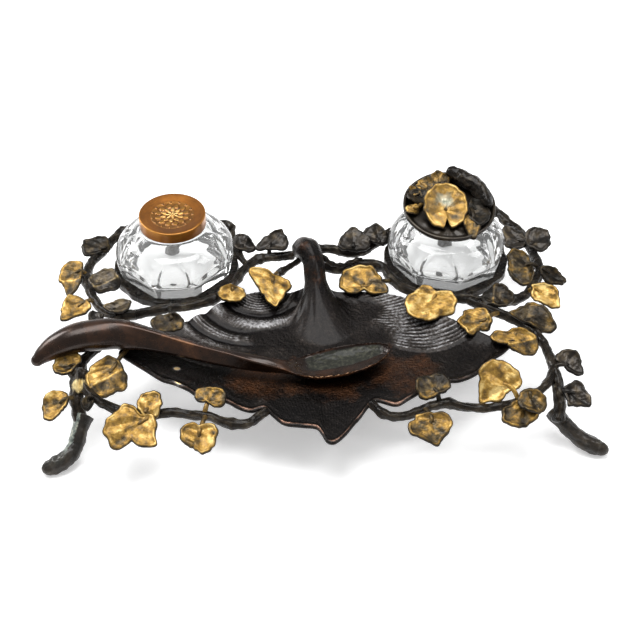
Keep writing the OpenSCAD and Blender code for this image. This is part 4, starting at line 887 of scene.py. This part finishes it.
def inkwell(name, side, corners, neck):
    """Outer form, rim, throat and ink space as one closed profile, turned and cut."""
    top = BODY_TOP + neck
    outer = [[0, 0], [10, 0], [20, 0], [28, 0], [31.8, 0], [33.3, 0.35], [33.6, 1]]
    z = np.linspace(2, 26.5, 34)
    outer += list(zip(np.interp(z, *np.array(SHOULDER).T), z))
    outer += [[22.6, 28.1], [20.4, 29.6], [19.2, 30.5], [19, 31.4], [19, top - 1], [18.7, top - 0.3], [18, top],
              [14.5, top], [13.8, top - 0.3], [13.5, top - 1]]
    inner = through([[13.5, 29.7], [16, 26.9], [22.5, 22.3], [26.6, 16.6], [27.9, 11], [27.2, 7.8], [24.5, 6.2],
                     [14, 6.0]], 6)
    profile = outer + inner.tolist() + [[0, 6]]
    made = lathe(profile, (side * RING_X, RING_Y, LEDGE_Z + 0.3), 256, change=eight_flats(corners))
    body = "left_well" if side < 0 else "right_well"
    cast(name + "_glass", [made], clear_glass, body, [name]).visible_shadow = False


clear_glass, glass_tree, glass_shader = finish_of("clear_glass", Transmission_Weight=0.95, IOR=1.5, Roughness=0.02)
# The glass greys where it is seen edge on: painted shade standing in for the dark things refracted in it
edge_on = put(glass_tree, "LayerWeight", {"Blend": 0.5}).outputs["Facing"]
GLASS_TINT_AND_EDGE_SHADE = [(0.0, 0.87, 0.875, 0.875), (0.5, 0.86, 0.865, 0.86), (0.8, 0.74, 0.74, 0.73),
                 (1.0, 0.46, 0.46, 0.45)]
glass_tree.links.new(ramp(glass_tree, edge_on, GLASS_TINT_AND_EDGE_SHADE), glass_shader.inputs["Base Color"])
ripple = noise(glass_tree, put(glass_tree, "TexCoord").outputs["Object"], 35, 1)
bump(glass_tree, glass_shader, ripple, 0.0003)
inkwell("inkwell_left", -1, [-108.6, -71.4, -18.6, 18.6, 71.4, 108.6, 161.4, 198.6], 4.5)
inkwell("inkwell_right", 1, [-83.3 + 45 * k for k in range(8)], 0.7)

# ---------------------------------------
# Brass cap. A pressed skirt and plate with a sunk middle, and a rosette of petals
# soldered in it, gilt over the brass.
# ---------------------------------------
PLATE_Z, CAP_R, SHEAR = 66.1, 19.7, 0.04
CAP_AT = (-RING_X, RING_Y, PLATE_Z)
# Rows of petals: radius of the middle, reach, number, turn and height
PETALS = ((9.2, 2.4, 12, 0.0, 0.55), (6.2, 2.2, 10, 0.3, 0.75), (3.4, 1.8, 7, 0.1, 0.95))


def sunk(r):
    """Height of the cap's sunk middle: 0.3 up to r = 8.5, then rising as a square."""
    return 0.3 + 0.55 * np.clip((r - 8.5) / 4.4, 0, 1) ** 2


def rosette(a, r, z):
    """Height raised by three rows of pointed petals, a ring of beads and a button.
    A petal's edge stands proud: its height grows with |sin| of half its own angle."""
    made = 0 * r
    for middle, deep, count, shift, high in PETALS:
        wave = np.abs(np.sin(count * a / 2 + shift))
        petal = step(middle + deep * (wave - 0.6) - r, 0.5) * (0.35 + 0.65 * wave)
        made = np.maximum(made, high * (petal * step(r - middle + 2.6, 0.9)))
    made = made + 0.4 * bell(r - 11.9, 0.5) * np.maximum(0, np.cos(15 * a)) ** 4
    return r, z + made + 0.8 * bell(r, 1.3) + sunk(r)


def from_axis(skin):
    """Distance of a skin's points from the cap's axis."""
    return np.linalg.norm(skin["points"][:, :, :2] - [-RING_X, RING_Y], axis=-1)


cap_r = np.linspace(0, 12.9, 24)
skirt = rounded([[13.6, 0.95], [15, 1.25], [17, 1.6], [18.4, 1.8], [19.3, 1.8], [CAP_R, 1.4], [CAP_R, -4.8],
                 [19.15, -4.8], [19.15, 0], [3, 0]], 0.3)
cap = lathe(np.vstack([np.stack([cap_r, sunk(cap_r)], 1), skirt, [[0, 0]]]), CAP_AT, 256, tone=0.55)
# The rounded rim is lighter by a painted highlight, and the upright skirt darker by painted shade
shaded_skirt = (cap["points"][:, :, 2] < PLATE_Z + 1) * (from_axis(cap) > 18)
cap["tone"] = cap["tone"] + 0.3 * bell(from_axis(cap) - 19.4, 0.4) - 0.22 * shaded_skirt
rose_profile = np.stack([np.r_[np.linspace(0, 12.8, 100), 12.9], np.r_[np.full(100, 0.1), -0.1]], 1)
rose = lathe(rose_profile, CAP_AT, 512, change=rosette)
proud = rose["points"][:, :, 2] - PLATE_Z - 0.1 - sunk(from_axis(rose))
in_cut = bell(proud - 0.2, 0.12) * (from_axis(rose) < 12.2)
# Raised petals are lighter by a painted highlight; the tone is darker in the cuts between them
rose["tone"] = 0.46 + 0.45 * np.clip((proud - 0.3) / 0.6, 0, 1) - 0.36 * in_cut
BRASS_COLOURS = [(0.0, 0.025, 0.008, 0.002), (0.3, 0.10, 0.040, 0.007), (0.55, 0.33, 0.115, 0.012),
                 (0.8, 0.50, 0.22, 0.035), (1.0, 0.85, 0.58, 0.24)]
GILT_COLOURS = [(0.0, 0.03, 0.010, 0.002), (0.35, 0.26, 0.10, 0.014), (0.6, 0.42, 0.20, 0.035),
                (1.0, 0.95, 0.70, 0.28)]
cap_brass = metal("cap_brass", BRASS_COLOURS, patch=60, patch_mix=0.2, rough=(0.28, 0.42), grain=1500,
                  grain_depth=0.00006, streaks=(9, 1.2, 0.25, 0.8))
rosette_gilt = metal("rosette_gilt", GILT_COLOURS, patch=250, patch_mix=0.25, rough=(0.25, 0.4), grain=1500,
                     grain_depth=0.0001)
for part in (cap, rose):
    x, y, z = (part["points"][:, :, k] for k in range(3))
    z += SHEAR * (y - RING_Y + CAP_R) * (z > PLATE_Z + 0.05)
cast("cap_plate", [cap], cap_brass, "left_cap", ["cap_left"])
cast("cap_flower", [rose], rosette_gilt, "left_cap", ["cap_rosette"])

# ---------------------------------------
# Lily-pad lid. A sloping bronze pad with a turned-up rim on a collar and spigot.
# A round verdigris leaf, small gilt leaves and a thick twig are brazed on it.
# ---------------------------------------
PAD_TILT, PAD_Z, PAD_R = 11.0, 68.0, 27.5
lean = math.radians(PAD_TILT)
PAD_TURN = np.array([[1, 0, 0], [0, math.cos(lean), -math.sin(lean)], [0, math.sin(lean), math.cos(lean)]])


def on_pad(points):
    """Points given from the middle of the pad's face, in its tilted plane."""
    return np.asarray(points, float) @ PAD_TURN.T + [RING_X, RING_Y, PAD_Z]


pad_profile = [[0, -1.8], [26.4, -1.8], [27.3, -1.0], [PAD_R, 0], [PAD_R, 1.2], [27.1, 1.6], [26.2, 1.6],
               [25.6, 1.1], [25.0, 0.3], *([r, 0] for r in np.linspace(24, 0, 30))]


def pad_face(a, r, z):
    """The face dips in slow lumps and low ribs run out from one side."""
    spot = np.stack([r * np.cos(a), r * np.sin(a), 0 * r], -1)
    ribs = 0.12 * np.cos(9 * np.arctan2(r * np.sin(a) + 16, r * np.cos(a) + 2))
    face = (z > -0.5) & (r < 24.9)
    wavy = 0.25 * np.sin(5 * a + 1) * (r > 25) * np.sin(3 * a)
    return r + wavy, z + face * (0.3 * waves(spot, 14, 31) + ribs)


pad = lathe(pad_profile, (0, 0, 0), 192, tone=0.45, change=pad_face)
# The turned-up rim is lighter by a painted highlight
pad["tone"] = pad["tone"] + 0.3 * bell(np.hypot(pad["points"][:, :, 0], pad["points"][:, :, 1]) - 26.6, 0.7)
pad["points"] = on_pad(pad["points"])
collar_profile = rounded([[14, 0.3], [19.3, 1.9], [19.3, 0.3], [20.5, 0.3], [20.5, 8.2]], 0.3).tolist() + [[0, 8.2]]
collar = lathe([[0, 1.9]] + collar_profile[1:], (RING_X, RING_Y, 60.4), 128, tone=0.4)
height_limit = PAD_Z - 0.9 + (collar["points"][:, :, 1] - RING_Y) * math.tan(lean)
collar["points"][:, :, 2] = np.minimum(collar["points"][:, :, 2], height_limit)
spigot_profile = rounded([[11.4, 2], [11.4, -4], [13.2, -4], [13.2, 2]], 0.3).tolist() + [[11.4, 2]]
spigot = lathe(spigot_profile, (RING_X, RING_Y, 62.0), 96, tone=0.4)
dark_bronze = metal("dark_bronze", BARK_COLOURS, patch=70, patch_mix=0.45, metallic=0.75, rough=(0.3, 0.45))
cast("lid_pad", [pad, collar, spigot], dark_bronze, "right_lid", ["lid_right"])
LID_TWIG = [[2, 25, 5], [6, 22.5, 4.8], [11, 18.5, 4.6], [17, 12.5, 4.6], [21, 5, 4.4], [23, -3, 4]]
twig_line = on_pad(through(LID_TWIG, 9))
middles["lid_twig"] = twig_line
middles["lid_pad"] = on_pad([[2, 2, -1], [-8, 6, -1], [-14, 2, -1], [-4, -2, -1], [10, 4, -1]])
share = np.linspace(0, 1, len(twig_line))
stout = 2.9 + 2.2 * np.sin(np.pi * share) ** 0.7
twig = bar(twig_line - 0.3, stout, 40, bark=0.07, seed=41, ends=(0.4, 0.4), tone=0.42)
cast("lid_branch", [twig], bark_bronze, "right_lid", ["lid_twig"])


def pale_heart(tree, place, colour):
    """Pale verdigris in the middle of the round leaf, where its folds meet."""
    ragged = noise(tree, place, 260, 5)
    amount = round_spot(tree, place, tuple(on_pad([-3.4, -1.5, 7]) * MM), ragged, 0.012, 0.0075, 0.012, 0.85)
    pale = ramp(tree, ragged, [(0.35, 0.16, 0.19, 0.15), (0.5, 0.42, 0.44, 0.34), (0.62, 0.72, 0.70, 0.55)])
    return cover(tree, amount, colour, pale)


verdigris_leaf = metal("verdigris_leaf", LEAF_COLOURS, patch=115, patch_mix=0.5, tone_mix=1.0, metallic=0.65,
                       rough=(0.34, 0.55), grain=800, grain_depth=0.0005, wax=0.1, tint=pale_heart)

# Given as the leaves on the vines are, from the middle of the pad and with the tilt over the pad's.
# The first is the round leaf, cut by one deep slit
LID_LEAVES = [
    [(-3.2, -5.2, 5.4), 20, (0.5, 2, 3.5, 5, 7, 11), 9,
     dict(gilt=0.64, cup=1.8, swell=1.0, curl=0.3, lip=0.5, seed=3),
     (12.2, 12.8, 13.6, 14.2, 13.6, 12.8, 12.2, 12.6, 13.6, 2.5, 13.4, 12.6), (8.8, 14.2, 8.95, 7, 9.05, 7, 9.2,
      14.2)],
    [(-4, 18.2, 3.0), 4, (1.6, 3, 4.6, 0.4, 6), 8.6, dict(gilt=0.42, seed=4, swell=0.8),
     (), (0, 5.4, 1, 6.6, 1.6, 7.4, 2.2, 5.8, 3, 6.6, 4, 5.4, 4.6, 6, 5.4, 5, 6, 5, 7, 4.4, 8, 4, 9, 4, 10, 4.4,
      11, 5)],
    [(-12, 14.8, 2.6), 3, (2, 3, 4.6, 6), 10, dict(gilt=0.4, seed=5, swell=0.8),
     (), (0, 6, 1, 5, 2, 5, 3, 5.4, 4, 5, 4.6, 6.2, 5.4, 5.2, 6, 6.4, 7, 5.6, 8, 5, 9, 4, 10, 4, 11, 5)],
    [(-19.6, 10.4, 2.7), 0, (3,), 0, dict(gilt=0.6, swell=0.4, seed=9),
     (), (0, 3, 2, 4.2, 3, 4.4, 6, 2.8, 9, 3.4)],
    [(-22.6, -3.5, 3.6), 0, (6,), 0, dict(gilt=0.55, swell=0.5, cup=-0.8, seed=6),
     (), (0, 3.8, 2, 3.2, 4, 3.3, 6, 3.6, 8, 3.2, 10, 3.2)],
    [(-18, 5.4, 3.2), 0, (5,), 0, dict(gilt=0.12, swell=0.4, cup=1.4, seed=7),
     (), (0, 6, 2, 5.4, 4, 5.6, 6, 6, 8, 5.4, 10, 5.2)],
    [(16, -8.5, 3.6), 0, (9, 3), 4, dict(gilt=0.1, swell=0.8, cup=0.6, seed=10),
     (6, 7, 9, 10, 8, 6.6, 6, 6.4, 8, 10, 8, 6.4), ()],
    [(11.6, -16.6, 3.8), 4, (9, 8, 10), 2.6, dict(gilt=0.42, cup=-0.8, swell=0.8, seed=8),
     (4.6, 5, 6.4, 8, 6.6, 5, 4.4, 4.6, 5.6, 10, 5.4, 4.6), (8.7, 9.6, 9.3, 8.8)],
]
lid_skins = []
for spot, pitch, veins, stalk, looks, whole, between in LID_LEAVES:
    lid_skins.append(leaf(on_pad(spot), PAD_TILT + pitch, veins, stalk, whole, between, vine="lid_pad", **looks))
cast("lid_round_blade", lid_skins[0], verdigris_leaf, "right_lid", ["lid_leaf_round"])
cast("lid_small_blades", sum(lid_skins[1:], []), gilt_leaf, "right_lid", ["lid_leaves"])

# ---------------------------------------
# Spoon. One forging: a plump handle that thins and twists at the neck into a long
# shallow bowl, grey-green inside, its edge polished to copper by wear.
# ---------------------------------------
SPOON_Z, BOWL_DEEP, BOWL_T = 24.4, 5.0, 1.6
# Stations: x, y and height of the middle, half width, half depth, and 1 for handle or 0 for bowl
SPOON = np.array([
    [-155.6, -34.8, 11.4, 3.7, 3.3, 1], [-151.6, -31.6, 13.2, 5.7, 4.9, 1], [-145, -27.6, 15.3, 7.6, 6.6, 1],
    [-135, -24, 17.1, 9.0, 7.9, 1], [-121, -22, 17.6, 9.4, 8.5, 1], [-110, -21.6, 17, 8.8, 8.2, 1],
    [-94, -25, 15.2, 7.0, 6.6, 1], [-77, -30, 13.3, 5.7, 5.2, 1], [-60, -35, 11.3, 5.2, 4.9, 1],
    [-44, -39, 10.1, 5.0, 4.6, 1], [-30, -42, 9.1, 4.6, 4.2, 1], [-21, -43, 8.3, 4.6, 3.6, 0.85],
    [-15, -43, 7.4, 6.2, 3.6, 0.5], [-9, -42.4, 6.8, 9.2, 4.4, 0.15], [-2, -41.2, 6.6, 12, 5.4, 0],
    [8, -39, 6.8, 13.6, 6, 0], [18, -36.9, 7.3, 13.2, 6, 0], [27, -34.6, 8, 11.4, 5.4, 0],
    [33.5, -32.7, 8.6, 8.4, 4.6, 0], [37.5, -31.8, 9.1, 5.6, 3.4, 0], [39.6, -31.4, 9.3, 3, 2.2, 0],
    [40.3, -31.3, 9.4, 0.9, 1, 0]], float)
station = through(SPOON, 8)
line = station[:, :3] + [0, 0, SPOON_Z]
wide, deep, solid = station[:, 3].clip(0.3), station[:, 4].clip(0.3), station[:, 5].clip(0, 1)
along = unit(np.gradient(line, axis=0))
aside = unit(np.cross([0, 0, 1.0], along))
butt = np.radians([80, 62, 44, 28, 14])
line = np.vstack([line[0] - along[0] * (wide[0] * np.sin(butt))[:, None], line])
wide, deep = (np.r_[size[0] * np.cos(butt), size] for size in (wide, deep))
solid = np.r_[solid[0] * np.ones(5), solid]
along, aside = (np.vstack([np.repeat(w[:1], 5, 0), w]) for w in (along, aside))
wide, deep, solid, x = wide[:, None], deep[:, None], solid[:, None], line[:, :1]
bowl = 1 - solid
roll = 0.16 * bowl
above = np.cross(along, aside)
aside, above = aside * np.cos(roll) - above * np.sin(roll), above * np.cos(roll) + aside * np.sin(roll)
a = ring_of(72)[None, :]
over = np.sin(a) > 0
up_size = -np.minimum(BOWL_DEEP, deep - BOWL_T * 0.6) * bowl + deep * solid

# The handle is cut flat on its upper front side, and the flat turns down to the front at the neck
flat = step(x + 104, 26) * solid
turn = 2.42 + 1.1 * step(x + 38, 26)
crease = bell(a - turn + 0.8, 0.2) * flat
cut = 1 - flat * (1 - np.minimum(1, 0.74 / np.maximum(0.3, np.cos(a - turn))))
height = np.where(over, up_size, deep) * np.sin(a) * cut + 0.08 * crease * deep
grid = line[:, None] + aside[:, None] * (wide * np.cos(a) * cut)[:, :, None] + above[:, None] * height[:, :, None]
rough_face = bowl * over * (0.22 * waves(grid, 3, 51) + 0.16 * waves(grid, 1.5, 52))
grid = grid + above[:, None] * rough_face[:, :, None]

# Tone: high along the polished lip, below zero where the bowl is crusted, and raised along the crease by a painted
# highlight
lip_line = bell(np.sin(a) - 0.08, 0.2 - 0.1 * np.cos(a)) * (0.55 - 0.45 * np.cos(a)) * bowl
crusted = np.clip((np.cos(a) - 0.02) / 0.2, 0, 1) * np.clip((0.97 - np.cos(a)) / 0.06, 0, 1)
crusted = np.where(over, crusted * np.clip(np.sin(a) / 0.35, 0, 1), 0) * bowl
crusted = crusted * step(x + 4, 6) * step(35 - x, 5)
tone = 0.4 + 0.08 * waves(grid, 25, 53) + 0.5 * lip_line - 1.4 * crusted + 0.22 * crease
grid = np.concatenate([line[:1, None] + 0 * grid[:1], grid, line[-1:, None] + 0 * grid[:1]])
tone = np.concatenate([0.4 + 0 * tone[:1], tone, 0.4 + 0 * tone[:1]])
spoon_skin = dict(points=grid, wrap=True, u=np.r_[0, np.linspace(0.1, 20, len(line)), 20.1],
                  v=np.linspace(0, 6, 73), tone=tone)


def bowl_crust(tree, place, colour):
    """Grey-green grains where the tone is below zero, which is inside the bowl."""
    grains = ramp(tree, noise(tree, place, 420, 6, 0.75),
                  [(0.3, 0.006, 0.006, 0.004), (0.5, 0.022, 0.023, 0.016), (0.7, 0.085, 0.084, 0.058)])
    return cover(tree, fade(tree, tone_of(tree), 0.15, -0.3), colour, grains)


SPOON_COLOURS = [(0.0, 0.008, 0.004, 0.003), (0.35, 0.022, 0.010, 0.005), (0.55, 0.052, 0.021, 0.009),
                 (0.78, 0.20, 0.085, 0.032), (1.0, 0.66, 0.38, 0.2)]
spoon_bronze = metal("spoon_bronze", SPOON_COLOURS, patch=60, patch_mix=0.6, metallic=0.5, rough=(0.18, 0.34),
                     grain_depth=0.00012, wax=0.2, tint=bowl_crust)
spoon_tree, spoon_shader = spoon_bronze.node_tree, spoon_bronze.node_tree.nodes["Principled BSDF"]
crusty = fade(spoon_tree, tone_of(spoon_tree), 0.15, -0.3, 0, 0.5)
gloss = spoon_shader.inputs["Roughness"].links[0].from_socket
spoon_tree.links.new(plus(spoon_tree, gloss, crusty), spoon_shader.inputs["Roughness"])
cast("spoon_body", [spoon_skin], spoon_bronze, "spoon", ["spoon"])

# ---------------------------------------
# Studio. A white table under large soft boxes, a pale sky, and the camera.
# ---------------------------------------
bpy.ops.mesh.primitive_plane_add(size=6, location=(0, 0, 0))
floor = bpy.context.object
floor.name = "studio_floor"
paper, paper_tree, paper_shader = finish_of("studio_paper", Roughness=0.9, Emission_Color=(1, 1, 1, 1),
                                            Emission_Strength=0.4)
fibre = noise(paper_tree, put(paper_tree, "TexCoord").outputs["Object"], 300, 4)
paper_white = ramp(paper_tree, fibre, [(0.3, 0.93, 0.93, 0.93), (0.7, 0.96, 0.96, 0.96)])
paper_tree.links.new(paper_white, paper_shader.inputs["Base Color"])
floor.data.materials.append(paper)


def soft_box(name, place, size, power):
    """Rectangular soft light that is turned to the middle of the stand."""
    lamp = bpy.data.lights.new(name, "AREA")
    lamp.shape, lamp.size, lamp.size_y, lamp.energy = "RECTANGLE", size[0], size[1], power
    box = bpy.data.objects.new(name, lamp)
    box.location = place
    box.rotation_euler = (Vector((0, 0, 0.03)) - Vector(place)).to_track_quat("-Z", "Y").to_euler()
    bpy.context.scene.collection.objects.link(box)


soft_box("box_above", (-0.05, 0.15, 1.1), (0.9, 0.55), 10)
soft_box("box_left", (-0.8, 0.5, 0.7), (0.35, 0.5), 6)
soft_box("box_right", (0.8, -0.2, 0.9), (0.35, 0.5), 3)
bpy.context.scene.view_settings.view_transform = "Standard"
world = bpy.data.worlds.new("studio_sky")
world.use_nodes = True
sky = world.node_tree.nodes["Background"]
sky.inputs["Color"].default_value, sky.inputs["Strength"].default_value = (1, 1, 1, 1), 0.4
bpy.context.scene.world = world

AZIMUTH, ELEVATION, DISTANCE = math.radians(-2.8), math.radians(40.5), 790.0
AIM = np.array([2.5, -1.5, 30.0])
flatly = math.cos(ELEVATION)
look = np.array([-math.sin(AZIMUTH) * flatly, math.cos(AZIMUTH) * flatly, -math.sin(ELEVATION)])
lens = bpy.data.cameras.new("camera")
lens.lens, lens.sensor_width, lens.clip_start = 76.8, 36, 0.05
camera = bpy.data.objects.new("camera", lens)
camera.location = (AIM - look * DISTANCE) * MM
camera.rotation_euler = Vector(look).to_track_quat("-Z", "Y").to_euler()
bpy.context.scene.collection.objects.link(camera)
bpy.context.scene.camera = camera
